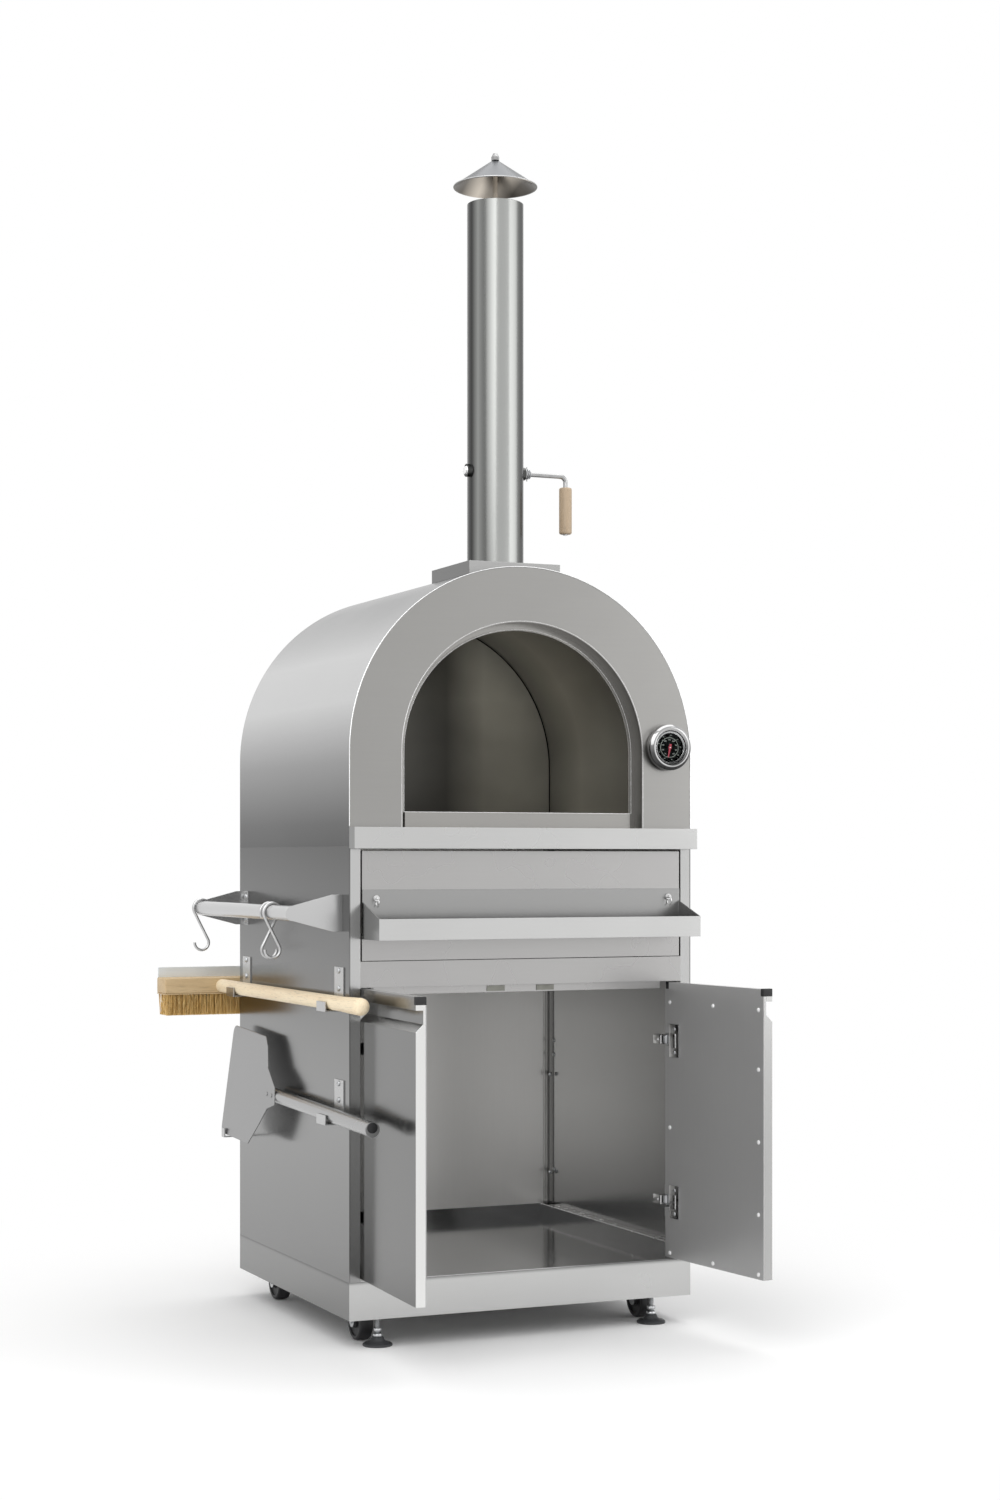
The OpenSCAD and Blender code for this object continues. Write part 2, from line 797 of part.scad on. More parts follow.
module thermometer_dial() {
    color("black") placed() {
        bar_y(gauge_x, dial_y - dial_t, dial_y, gauge_z, dial_d - 0.4);
        bar_y(gauge_x, needle_y - needle_t, dial_y - dial_t + eps, gauge_z, post_pin_d);
    }
}

module thermometer_glass() {
    color("white", 0.3) placed() bar_y(gauge_x, glass_y - glass_t, glass_y, gauge_z, dial_d - 0.4);
}

module needle() {
    hub_d = 6;
    tail_l = 6;
    wide = 1.9;
    tip = 1;
    color("red") placed() translate([gauge_x, needle_y, gauge_z]) rotate([0, needle_deg, 0]) difference() {
        union() {
            bar_y(0, -needle_t / 2, needle_t / 2, 0, hub_d);
            along_y(-needle_t / 2, needle_t / 2)
                polygon([[-wide, -tail_l], [wide, -tail_l], [tip, needle_l], [-tip, needle_l]]);
        }
        bar_y(0, -2, 2, 0, post_pin_d + 2 * run_gap);
    }
}

// Shelf, rail and hooks

module front_shelf() {
    out_y = front - shelf_d;
    color("gainsboro") placed() {
        slab([-shelf_half, front - sheet, shelf_z], [shelf_half, front, shelf_z + shelf_back]);
        slab([-shelf_half, out_y, shelf_z], [shelf_half, front, shelf_z + sheet]);
        slab([-shelf_half, out_y, shelf_z], [shelf_half, out_y + sheet, shelf_z + shelf_lip]);
        both_sides() along_x(shelf_half - sheet, shelf_half) polygon([
            [front, shelf_z], [out_y, shelf_z], [out_y, shelf_z + shelf_lip], [front, shelf_z + shelf_wing]
        ]);
    }
}

module shelf_studs() {
    head_d = 10;
    head_t = 4;
    neck_d = 5;
    ring_r = 7;
    ring_d = 1.5;
    eye_y = front - sheet - ring_r - ring_d / 2 - rest_gap;
    color("silver") placed() both_sides() translate([stud_x, 0, stud_z]) {
        bar_y(0, front - sheet - head_t, front - sheet, 0, head_d);
        bar_y(0, eye_y - neck_d / 2, front - sheet - head_t + eps, 0, neck_d);
        translate([0, eye_y, -ring_r]) rotate([90, 0, 90]) bend(ring_r, ring_d, 0, 360);
    }
}

// Tube between two fans that its flattened ends spread into, each with a foot turned in along the panel
module side_rail() {
    in_y = rail_half - rail_flat_t;
    color("silver") placed() translate([0, 0, rail_axis_z]) difference() {
        union() {
            bar_y(rail_x, -rail_half, rail_half, 0, tube_d);
            for (m = [0, 1]) mirror([0, m, 0]) rail_end(in_y);
        }
        bar_y(rail_x, -in_y, in_y, 0, tube_d - 2 * tube_wall);
    }
}

module rail_end(in_y) {
    fan_x = -half_w - 18;
    half_h = rail_foot_h / 2;
    along_y(in_y, rail_half) polygon([
        [rail_x, -tube_d / 2], [fan_x, -half_h], [-half_w, -half_h],
        [-half_w, half_h], [fan_x, half_h], [rail_x, tube_d / 2]
    ]);
    slab([-half_w - rail_foot_t, rail_half - rail_foot_w, -half_h], [-half_w, rail_half - eps, half_h]);
}

// S-hook in x and z about the rail's axis, its lower bend opening towards -x, with a ball at each joint
module s_hook(y, flip) {
    cross = asin((hook_r + hook_low_r) / hook_l);
    run = hook_l * cos(cross);
    short = 0.4;
    color("silver") placed() translate([rail_x, y, rail_axis_z]) mirror([flip, 0, 0]) rotate([0, -cross, 0]) {
        rotate([90, 0, 0]) bend(hook_r, wire_d, -60, 240);
        bar_z(-hook_r, 0, short - run, -short, wire_d);
        translate([-hook_r - hook_low_r, 0, -run]) rotate([90, 0, 0]) bend(hook_low_r, wire_d, -210, 210);
        for (z = [-run, 0]) translate([-hook_r, 0, z]) sphere(d = wire_d + 0.3);
    }
}

module hook_rear() {
    s_hook(hook_y[0], 0);
}

module hook_mid() {
    s_hook(hook_y[1], 1);
}

module hook_front() {
    s_hook(hook_y[2], 0);
}

// Tools and their clips

// J-shaped strap on the left panel: plate, foot and lip
module j_clip(y, low_z, wide, off, plate_h) {
    y0 = y - wide / 2;
    y1 = y + wide / 2;
    slab([-half_w - clip_t, y0, low_z], [-half_w, y1, low_z + plate_h]);
    slab([-half_w - off, y0, low_z], [-half_w, y1, low_z + clip_t]);
    slab([-half_w - off, y0, low_z], [-half_w - off + clip_t, y1, low_z + clip_lip]);
}

// Lower edge of the blade, from the handle's axis
blade_edge_z = peel_axis_z + blade_low * cos(peel_roll) + clip_y * tan(peel_slope);
nub_low = blade_edge_z - nub_drop - clip_t;
nub_off = tool_off + peel_d / 2 * cos(peel_roll) - blade_low * sin(peel_roll) + 3 + clip_t;

module tool_clips() {
    color("silver") placed() {
        for (y = [-clip_y, clip_y]) j_clip(y, brush_low, clip_w, clip_off, clip_h);
        j_clip(-clip_y, peel_low, clip_w, clip_off, clip_h);
        j_clip(clip_y, nub_low, nub_w, nub_off, clip_h);
    }
}

module side_screw(y, z, seat) {
    bar_x(-half_w - seat - screw_h, -half_w - seat, y, z, screw_d);
}

module side_screws() {
    bolt_rise = rail_foot_h / 2 - 10;
    bolt_y = rail_half - rail_flat_t - (rail_foot_w - rail_flat_t) / 2;
    color("lightgray") placed() {
        for (y = [-clip_y, clip_y], z = [clip_h - 6, clip_h - 35]) side_screw(y, brush_low + z, clip_t);
        for (z = [clip_h - 6, clip_h - 33]) side_screw(-clip_y, peel_low + z, clip_t);
        for (z = [clip_h - 6, clip_h - 33]) side_screw(clip_y, nub_low + z, clip_t);
        for (y = [-bolt_y, bolt_y], z = [-bolt_rise, bolt_rise])
            side_screw(y, rail_axis_z + z, rail_foot_t);
    }
}

module brush_wood() {
    grip_y = -brush_front + 102;
    ball = brush_end_d / 2;
    color("burlywood") placed() {
        translate([tool_x, -brush_front + ball, brush_axis_z]) rotate([-90, 0, 0]) {
            sphere(d = brush_end_d);
            cylinder(h = 102 - ball, d1 = brush_end_d, d2 = brush_d);
        }
        bar_y(tool_x, grip_y - eps, head_y + eps, brush_axis_z, brush_d);
        slab([tool_x - head_w / 2, head_y, block_z + slice_t],
            [tool_x + head_w / 2, head_y + head_d, block_z + head_h]);
    }
}

// One three-sided bristle from its root to its flared tip
module strand(root, tip) {
    r = bristle_t / sqrt(3);
    ring = [for (a = [0, 120, 240]) [r * cos(a), r * sin(a), 0]];
    polyhedron(
        points = concat([for (p = ring) p + root], [for (p = ring) p + tip]),
        faces = [[2, 1, 0], [3, 4, 5], [1, 3, 0], [4, 3, 1], [2, 4, 1], [5, 4, 2], [0, 5, 2], [3, 5, 0]]
    );
}

module brush_bristles() {
    half_row = head_w / 2 - bristle_in;
    half_deep = head_d / 2 - bristle_in;
    flare = 1.05;
    mid_y = head_y + head_d / 2;
    color("goldenrod") placed() translate([tool_x, mid_y, block_z]) union() {
        slab([-head_w / 2, -head_d / 2, 0], [head_w / 2, head_d / 2, slice_t]);
        for (i = [0:bristle_cols - 1], j = [0:bristle_rows - 1]) {
            u = (2 * i / (bristle_cols - 1) - 1) * half_row / flare;
            v = (2 * j / (bristle_rows - 1) - 1) * half_deep / flare;
            strand([u, v, slice_t / 2], [u * flare, v * flare, -bristle_l]);
        }
    }
}

module brush_scraper() {
    thick = 2.5;
    back = head_y + head_d;
    color("aliceblue") placed() slab([tool_x - head_w / 2 + 1, back - thick - 2, block_z + head_h],
        [tool_x + head_w / 2 - 1, back - 2, block_z + head_h + scraper_h]);
}

// Half widths of the peel's blade at its shoulder and its tang's end, and their places along the handle
shoulder_y = 68;
shoulder_low = 60;
shoulder_high = 96;
blade_high = 100;
neck_y = 30;
neck_low = 24;
tang_low = 14;
tang_high = 16;
tang_y = 52;
tang_rise = 45;
flare_y = 95;
tang_back = 5;

// The peel is drawn along y with its handle's axis at z = 0, then rolled and sloped
module peel_place() {
    translate([tool_x, 0, peel_axis_z]) rotate([peel_slope, 0, 0]) rotate([0, peel_roll, 0]) children();
}

module peel_blade() {
    inner = -peel_d / 2;
    corner = 14;
    color("silver") placed() peel_place() {
        along_x(inner - blade_t, inner) {
            polygon([
                [-tang_back, -tang_low], [neck_y, -neck_low], [shoulder_y, -shoulder_low],
                [flare_y + corner, blade_low], [blade_w - corner, blade_low],
                [blade_w, blade_low + corner], [blade_w, blade_high - corner], [blade_w - corner, blade_high],
                [shoulder_y + corner, shoulder_high], [shoulder_y, shoulder_high - corner],
                [tang_y, tang_rise], [tang_back, tang_high]
            ]);
            translate([blade_w - corner, blade_low + corner]) circle(corner);
            translate([blade_w - corner, blade_high - corner]) circle(corner);
        }
        for (y = [tang_high, neck_y + 10])
            bar_x(inner - blade_t - rivet_h, inner - blade_t + eps, y, 0, rivet_d);
    }
}

module peel_handle() {
    end_t = 14;
    back_y = tang_y + 8;
    color("silver") placed() peel_place() difference() {
        bar_y(0, -peel_front, back_y, 0, peel_d);
        bar_y(0, -peel_front + end_t, back_y + 1, 0, peel_d - 3);
    }
}

// Doors, drawn closed on the right-hand side

module door_plan(inset) {
    r = door_bend - inset;
    x1 = door_out - inset;
    y0 = front + inset;
    difference() {
        translate([door_in + inset, y0]) square([x1 - door_in - inset, door_t]);
        translate([x1 - r, y0]) difference() {
            translate([0, -1]) square([r + 1, r + 1]);
            translate([0, r]) circle(r);
        }
    }
}

module door_section(inset) {
    back = door_back - sheet;
    step = inset * tan(22.5);
    y0 = front + inset;
    y1 = y0 + recess_d;
    polygon([
        [back + inset, door_low + inset], [y0, door_low + inset], [y0, bevel_z - step],
        [y1, bevel_z + recess_d - step], [y1, door_top - inset], [back + inset, door_top - inset]
    ]);
}

module hinge_cut(z) {
    slab([pivot_x - notch, pivot_y - notch + 1, z - notch_h / 2],
        [door_out + 1, door_back + 4, z + notch_h / 2]);
}

module door_pan() {
    difference() {
        intersection() {
            along_x(door_in, door_out) door_section(0);
            translate([0, 0, door_low]) linear_extrude(door_top - door_low) door_plan(0);
        }
        intersection() {
            along_x(door_in, door_out) door_section(sheet);
            translate([0, 0, door_low]) linear_extrude(door_top - door_low) door_plan(sheet);
        }
        for (z = hinge_zs) hinge_cut(z);
    }
}

module door_liner() {
    cheek_x = door_out - sheet - 0.2;
    difference() {
        union() {
            slab([door_in, door_back - sheet, door_low], [door_out, door_back, door_top]);
            for (z = hinge_zs) {
                slab([pivot_x - notch, front + sheet + 0.5, z - cup_h / 2],
                    [cheek_x, door_back - eps, z + cup_h / 2]);
                slab([door_out - plate_w, door_back - eps, z - cup_h / 2],
                    [door_out, door_back + 1, z + cup_h / 2]);
            }
            for (x = [door_in + rivet_in, (door_in + door_out) / 2], z = [rivet_zs[0], rivet_zs[4]]) rivet(x, z);
            for (i = [1:3]) rivet(door_in + rivet_in, rivet_zs[i]);
            for (z = [rivet_zs[0], rivet_zs[2], rivet_zs[4]]) rivet(door_out - rivet_in, z);
        }
        slab([door_out - door_bend, front, door_low - 1], [door_out + 1, front + door_bend, door_top + 1]);
        for (z = hinge_zs) hinge_cut(z);
    }
    for (z = hinge_zs) bar_z(pivot_x, pivot_y, z - cup_h / 2, z + cup_h / 2, pin_d);
}

module rivet(x, z) {
    bar_y(x, door_back - eps, door_back + rivet_h, z, rivet_d);
}

module door_channel() {
    x0 = door_in + cap_t;
    x1 = door_out - 2 - cap_t;
    seat = front + recess_d;
    low = door_top - channel_h;
    along_x(x0, x1) {
        translate([front, low]) square([sheet, channel_h]);
        translate([front, door_top - sheet]) square([recess_d, sheet]);
        translate([front, low]) square([channel_lip, sheet]);
    }
    for (x = [door_in, x1]) slab([x, front, low], [x + cap_t, seat, door_top]);
}

module left_door_place() {
    placed() translate([-pivot_x, pivot_y, 0]) rotate([0, 0, -left_open]) translate([pivot_x, -pivot_y, 0])
        mirror([1, 0, 0]) children();
}

module right_door_place() {
    placed() translate([pivot_x, pivot_y, 0]) rotate([0, 0, right_open]) translate([-pivot_x, -pivot_y, 0])
        children();
}

module left_door_pan() {
    color("silver") left_door_place() door_pan();
}

module left_door_liner() {
    color("silver") left_door_place() door_liner();
}

module left_door_channel() {
    color("gainsboro") left_door_place() door_channel();
}

module right_door_pan() {
    color("silver") right_door_place() door_pan();
}

module right_door_liner() {
    color("silver") right_door_place() door_liner();
}

module right_door_channel() {
    color("gainsboro") right_door_place() door_channel();
}

// Cranked arm from the side panel to the eye on the pin
module hinge_arm(z) {
    wall = half_w - sheet;
    link_y = pivot_y + arm_crank;
    foot_y0 = link_y + arm_crank;
    translate([0, 0, z - arm_h / 2]) difference() {
        union() {
            translate([pivot_x, pivot_y, 0]) cylinder(h = arm_h, d = pin_d + 2 * eye_wall);
            linear_extrude(arm_h) {
                translate([pivot_x - arm_t / 2, pivot_y]) square([arm_t, arm_crank]);
                polygon([
                    [pivot_x - arm_t / 2, link_y - 1], [pivot_x + arm_t / 2, link_y - 1],
                    [wall, foot_y0 - 1], [wall, foot_y0 + arm_t], [wall - arm_t, foot_y0 + arm_t],
                    [pivot_x - arm_t / 2, link_y + arm_t]
                ]);
                translate([wall - arm_t, foot_y0]) square([arm_t, arm_foot]);
            }
        }
        translate([pivot_x, pivot_y, -1]) cylinder(h = arm_h + 2, d = pin_d + 2 * run_gap);
    }
}

module hinge_arms() {
    color("lightgray") placed() both_sides() for (z = hinge_zs) hinge_arm(z);
}

// Casters and feet

// Fork legs and crown about the swivel's axis, with the axle at the trail's end
module fork(offset_y) {
    crown = 20;
    end_r = 10;
    difference() {
        union() {
            for (s = [-1, 1]) along_x(s > 0 ? fork_in : -fork_out, s > 0 ? fork_out : -fork_in) {
                translate([offset_y, wheel_r]) circle(end_r);
                polygon([
                    [offset_y - end_r, wheel_r], [offset_y + end_r, wheel_r], [crown, fork_top - fork_t],
                    [crown, fork_top], [-crown, fork_top], [-crown, fork_top - fork_t]
                ]);
            }
            slab([-fork_out, -crown, fork_top - fork_t], [fork_out, crown, fork_top]);
            bar_x(-fork_out - 2, fork_out + 2, offset_y, wheel_r, axle_d);
        }
        bar_z(0, 0, fork_top - 20, fork_top + 1, swivel_d + 2 * run_gap);
    }
}

module caster_plates() {
    color("lightgray") placed() {
        both_sides() translate([caster_x, -front_caster, 0]) {
            slab([-plate_s / 2, -plate_s / 2, deck_z - plate_t], [plate_s / 2, plate_s / 2, deck_z]);
            bar_z(0, 0, fork_top - fork_t - 3, deck_z - plate_t + eps, swivel_d);
            bar_z(0, 0, fork_top - fork_t - 3, fork_top - fork_t - 0.4, swivel_d + 6);
        }
        both_sides() translate([caster_x, rear_caster, 0]) {
            slab([-plate_s / 2, -plate_s / 2, deck_z - plate_t], [plate_s / 2, plate_s / 2, deck_z]);
            bar_z(0, 0, fork_top - 1, deck_z - plate_t + eps, 30);
            fork(0);
        }
    }
}

module front_fork(s) {
    color("lightgray") placed() translate([s * caster_x, -front_caster, 0]) fork(-trail);
}

module wheel(x, y) {
    hub_d = 22;
    dish = 3;
    rim_w = 7;
    color("dimgray") placed() translate([x, y, wheel_r]) difference() {
        bar_x(-wheel_w / 2, wheel_w / 2, 0, 0, wheel_d);
        both_sides() difference() {
            bar_x(wheel_w / 2 - dish, wheel_w / 2 + 1, 0, 0, wheel_d - 2 * rim_w);
            bar_x(0, wheel_w, 0, 0, hub_d);
        }
        bar_x(-wheel_w, wheel_w, 0, 0, axle_d + 2 * run_gap);
    }
}

module front_fork_left() {
    front_fork(-1);
}

module front_fork_right() {
    front_fork(1);
}

module front_wheel_left() {
    wheel(-caster_x, -front_caster - trail);
}

module front_wheel_right() {
    wheel(caster_x, -front_caster - trail);
}

module rear_wheel_left() {
    wheel(-caster_x, rear_caster);
}

module rear_wheel_right() {
    wheel(caster_x, rear_caster);
}

module foot(s) {
    color("darkslategray") placed() translate([s * foot_x, -foot_y, 0]) {
        cylinder(h = pad_t, d1 = pad_d, d2 = pad_d - 6);
        bar_z(0, 0, pad_t - eps, foot_stem_top, foot_stem_d);
        translate([0, 0, pad_t]) cylinder(h = 6, d = nut8 / cos(30), $fn = 6);
    }
}

module foot_left() {
    foot(-1);
}

module foot_right() {
    foot(1);
}

module foot_nuts() {
    color("lightgray") placed() both_sides() translate([foot_x, -foot_y, deck_z + sheet]) difference() {
        cylinder(h = 8, d = nut8 / cos(30), $fn = 6);
        bar_z(0, 0, -1, 9, foot_stem_d + 2 * run_gap);
    }
}

plinth();
floor_panel();
left_side_panel();
right_side_panel();
back_panel();
corner_posts();
fascia_panel();
door_rail();
magnet_catches();
front_ledge();
top_deck();
oven_shell();
oven_face();
oven_back();
oven_liner();
door_seat_frame();
insulation();
floor_stones();
chimney_collar();
chimney_pipe();
cap_bracket();
rain_cap();
cap_nut();
thermometer_case();
thermometer_dial();
thermometer_glass();
front_shelf();
shelf_studs();
side_rail();
tool_clips();
side_screws();
hinge_arms();
caster_plates();
foot_nuts();
left_door_pan();
left_door_liner();
left_door_channel();
right_door_pan();
right_door_liner();
right_door_channel();
damper_rod();
damper_grip();
needle();
hook_rear();
hook_mid();
hook_front();
brush_wood();
brush_bristles();
brush_scraper();
peel_blade();
peel_handle();
front_fork_left();
front_fork_right();
front_wheel_left();
front_wheel_right();
rear_wheel_left();
rear_wheel_right();
foot_left();
foot_right();
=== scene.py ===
import math

import bmesh
import bpy
from mathutils import Matrix, Vector

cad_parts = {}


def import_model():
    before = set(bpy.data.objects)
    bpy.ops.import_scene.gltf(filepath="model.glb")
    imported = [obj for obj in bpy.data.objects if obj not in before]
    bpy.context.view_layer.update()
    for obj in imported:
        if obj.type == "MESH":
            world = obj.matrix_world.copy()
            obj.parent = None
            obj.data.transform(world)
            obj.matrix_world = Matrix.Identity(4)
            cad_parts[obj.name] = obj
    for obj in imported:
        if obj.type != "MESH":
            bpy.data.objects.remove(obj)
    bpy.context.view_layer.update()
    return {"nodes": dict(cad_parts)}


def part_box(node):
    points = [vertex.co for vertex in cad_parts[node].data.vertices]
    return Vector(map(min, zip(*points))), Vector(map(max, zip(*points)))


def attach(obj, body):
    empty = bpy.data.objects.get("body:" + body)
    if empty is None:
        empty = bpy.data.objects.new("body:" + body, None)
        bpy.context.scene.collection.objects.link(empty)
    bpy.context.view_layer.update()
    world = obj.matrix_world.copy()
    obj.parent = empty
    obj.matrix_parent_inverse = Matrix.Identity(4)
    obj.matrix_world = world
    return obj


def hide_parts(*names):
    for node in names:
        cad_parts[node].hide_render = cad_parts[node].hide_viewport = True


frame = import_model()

scene = bpy.context.scene
MM = 0.001

# Places that the dressed pieces share, all read from the solids
plinth_lo, plinth_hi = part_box("plinth")
MID_X = (plinth_lo.x + plinth_hi.x) / 2
MID_Y = (plinth_lo.y + plinth_hi.y) / 2
FRONT = plinth_lo.y


def at(x, y, z):
    """A point given in millimetres from the cabinet's middle."""
    return Vector((MID_X + x * MM, MID_Y + y * MM, z * MM))


# Camera

CAMERA_PLACE = at(-1686.9, -4035.1, 788.5)
CAMERA_TURN = math.radians(-23.66)
FOCAL_PX = 2476.6
FRAME_PX = 1500
HORIZON_PX = 861.5
SENSOR = 36.0


def make_camera():
    """The view that the oven was measured in."""
    data = bpy.data.cameras.new("camera")
    data.sensor_width = SENSOR
    data.lens = FOCAL_PX * SENSOR / FRAME_PX
    data.shift_y = (HORIZON_PX - FRAME_PX / 2) / FRAME_PX
    data.clip_end = 60
    camera = bpy.data.objects.new("camera", data)
    camera.location = CAMERA_PLACE
    camera.rotation_euler = (math.radians(90), 0, CAMERA_TURN)
    scene.collection.objects.link(camera)
    scene.camera = camera


# Material helpers


def new_material(name):
    """A material with its node tree and its main shader."""
    material = bpy.data.materials.new(name)
    material.use_nodes = True
    tree = material.node_tree
    return material, tree, tree.nodes["Principled BSDF"]


def node(tree, kind, inputs=None, **settings):
    """A new shader node with its settings and its inputs' values."""
    made = tree.nodes.new(kind)
    for key, value in settings.items():
        setattr(made, key, value)
    for key, value in (inputs or {}).items():
        made.inputs[key].default_value = value
    return made


def grey(value):
    """One grey as a full colour."""
    return (value, value, value, 1)


def ramp(tree, source, stops):
    """Turns a value into a colour by (place, colour) stops."""
    made = node(tree, "ShaderNodeValToRGB")
    elements = made.color_ramp.elements
    while len(elements) < len(stops):
        elements.new(0.5)
    for element, (place, colour) in zip(elements, stops):
        element.position = place
        element.color = colour
    tree.links.new(source, made.inputs["Fac"])
    return made.outputs["Color"]


def to_range(tree, source, low, high):
    """Brings a value of 0 to 1 to the range from low to high."""
    made = node(tree, "ShaderNodeMapRange", {"To Min": low, "To Max": high})
    tree.links.new(source, made.inputs["Value"])
    return made.outputs["Result"]


def object_noise(tree, scale, stretch=(1, 1, 1), detail=3):
    """Noise on Object coordinates; a small stretch value draws it out along that axis."""
    coords = node(tree, "ShaderNodeTexCoord")
    mapping = node(tree, "ShaderNodeMapping", {"Scale": stretch})
    noise = node(tree, "ShaderNodeTexNoise", {"Scale": scale, "Detail": detail})
    tree.links.new(coords.outputs["Object"], mapping.inputs["Vector"])
    tree.links.new(mapping.outputs["Vector"], noise.inputs["Vector"])
    return noise.outputs["Fac"]


def bump(tree, shader, height, strength, distance, round_edge=0.0):
    """Raises the surface by a value, and rounds its edges in the light where asked."""
    made = node(tree, "ShaderNodeBump", {"Strength": strength, "Distance": distance})
    tree.links.new(height, made.inputs["Height"])
    if round_edge:
        bevel = node(tree, "ShaderNodeBevel", {"Radius": round_edge}, samples=6)
        tree.links.new(bevel.outputs["Normal"], made.inputs["Normal"])
    tree.links.new(made.outputs["Normal"], shader.inputs["Normal"])


def times(tree, first, second):
    """Two colours or values multiplied."""
    made = node(tree, "ShaderNodeMix", {"Factor": 1.0}, data_type="RGBA", blend_type="MULTIPLY")
    tree.links.new(first, made.inputs["A"])
    tree.links.new(second, made.inputs["B"])
    return made.outputs["Result"]


def tone_along(tree, axis, stops):
    """A grey that changes along one axis; stops are (millimetres in the cabinet's frame, tone)."""
    shift = {"x": MID_X, "y": MID_Y, "z": 0.0}[axis]
    low, high = stops[0][0], stops[-1][0]
    coords = node(tree, "ShaderNodeTexCoord")
    split = node(tree, "ShaderNodeSeparateXYZ")
    scaled = node(tree, "ShaderNodeMapRange", {"From Min": low * MM + shift, "From Max": high * MM + shift})
    tree.links.new(coords.outputs["Object"], split.inputs["Vector"])
    tree.links.new(split.outputs[axis.upper()], scaled.inputs["Value"])
    return ramp(tree, scaled.outputs["Result"], [((p - low) / (high - low), grey(t)) for p, t in stops])


def tone_by_facing(tree, tones):
    """A grey for faces that look along x, along y and along z, blended on slopes."""
    coords = node(tree, "ShaderNodeTexCoord")
    square = node(tree, "ShaderNodeVectorMath", operation="MULTIPLY")
    weigh = node(tree, "ShaderNodeVectorMath", operation="DOT_PRODUCT")
    weigh.inputs[1].default_value = tones
    tree.links.new(coords.outputs["Normal"], square.inputs[0])
    tree.links.new(coords.outputs["Normal"], square.inputs[1])
    tree.links.new(square.outputs["Vector"], weigh.inputs[0])
    return weigh.outputs["Value"]


def masked(tree, mask, elsewhere, tone):
    """One tone where the mask is full and another where it is empty."""
    mix = node(tree, "ShaderNodeMix", {"A": grey(1), "B": grey(1)}, data_type="RGBA")
    tree.links.new(mask, mix.inputs["Factor"])
    for source, socket in ((elsewhere, "A"), (tone, "B")):
        if source:
            tree.links.new(source, mix.inputs[socket])
    return mix.outputs["Result"]


def mirrored(stops):
    """Stops for one side of the cabinet, repeated for the other side."""
    return [(-place, tone) for place, tone in reversed(stops)] + stops


def tone_round(tree, centre, stops):
    """A grey that changes with the angle round a standing tube."""
    coords = node(tree, "ShaderNodeTexCoord")
    mapping = node(tree, "ShaderNodeMapping", {"Location": (-centre.x, -centre.y, 0)})
    turn = node(tree, "ShaderNodeTexGradient", gradient_type="RADIAL")
    tree.links.new(coords.outputs["Object"], mapping.inputs["Vector"])
    tree.links.new(mapping.outputs["Vector"], turn.inputs["Vector"])
    return ramp(tree, turn.outputs["Fac"], [(p, grey(t)) for p, t in stops])


# Fine lines and soft clouds of a brushed sheet, and the radius of its folded edges
LINE_SCALE = 260
LINE_STRETCH = {"x": (0.04, 1, 1), "y": (1, 0.04, 1), "z": (1, 1, 0.04)}
LINE_SHARE = 0.12
CLOUD_SCALE = 5
FOLD_RADIUS = 0.8 * MM


def brushed_steel(name, tone, rough, along, facing=None, painted_zones=(), painted_tube_bands=None, metallic=1.0,
                  edge=FOLD_RADIUS, painted_sides=None):
    """Brushed sheet: fine lines drawn out along one axis, cloudy gloss, soft folded edges, and painted light
    and shade by facing, along axes, by side and round a tube.
    """
    material, tree, shader = new_material(name)
    shader.inputs["Metallic"].default_value = metallic
    lines = object_noise(tree, LINE_SCALE, LINE_STRETCH[along], 0)
    clouds = object_noise(tree, CLOUD_SCALE)
    mixed = node(tree, "ShaderNodeMath", operation="MULTIPLY_ADD")
    mixed.inputs[1].default_value = LINE_SHARE
    tree.links.new(lines, mixed.inputs[0])
    tree.links.new(to_range(tree, clouds, 0.25, 0.65), mixed.inputs[2])
    low = tuple(c * 0.95 for c in tone) + (1,)
    high = tuple(c * 1.04 for c in tone) + (1,)
    colour = ramp(tree, mixed.outputs[0], [(0.25, low), (0.75, high)])
    if facing:
        colour = times(tree, colour, tone_by_facing(tree, facing))
    for axis, stops in painted_zones:
        colour = times(tree, colour, tone_along(tree, axis, stops))
    if painted_sides:
        inner, outer = (tone_along(tree, "z", stops) for stops in painted_sides)
        colour = times(tree, colour, masked(tree, tone_along(tree, "x", OUTER_FACES), inner, outer))
    if painted_tube_bands:
        colour = times(tree, colour, tone_round(tree, *painted_tube_bands))
    tree.links.new(colour, shader.inputs["Base Color"])
    tree.links.new(to_range(tree, clouds, rough - 0.04, rough + 0.05), shader.inputs["Roughness"])
    bump(tree, shader, lines, 0.01, 0.05 * MM, edge)
    return material


def plain_metal(name, low, high, rough, scale=30, metallic=1.0, edge=0.6 * MM):
    """Metal without a grain: mottled between two colours."""
    material, tree, shader = new_material(name)
    shader.inputs["Metallic"].default_value = metallic
    mottle = object_noise(tree, scale, detail=5)
    tree.links.new(ramp(tree, mottle, [(0.3, low), (0.7, high)]), shader.inputs["Base Color"])
    tree.links.new(to_range(tree, mottle, rough - 0.05, rough + 0.07), shader.inputs["Roughness"])
    bump(tree, shader, mottle, 0.05, 0.2 * MM, edge)
    return material


# Painted light and shade across the cap's underside, palest near its middle
CAP_PAINTED_LIGHT = [(-70, 0.1), (-40, 0.2), (-5, 1), (28, 0.8), (50, 0.15), (70, 0.1)]


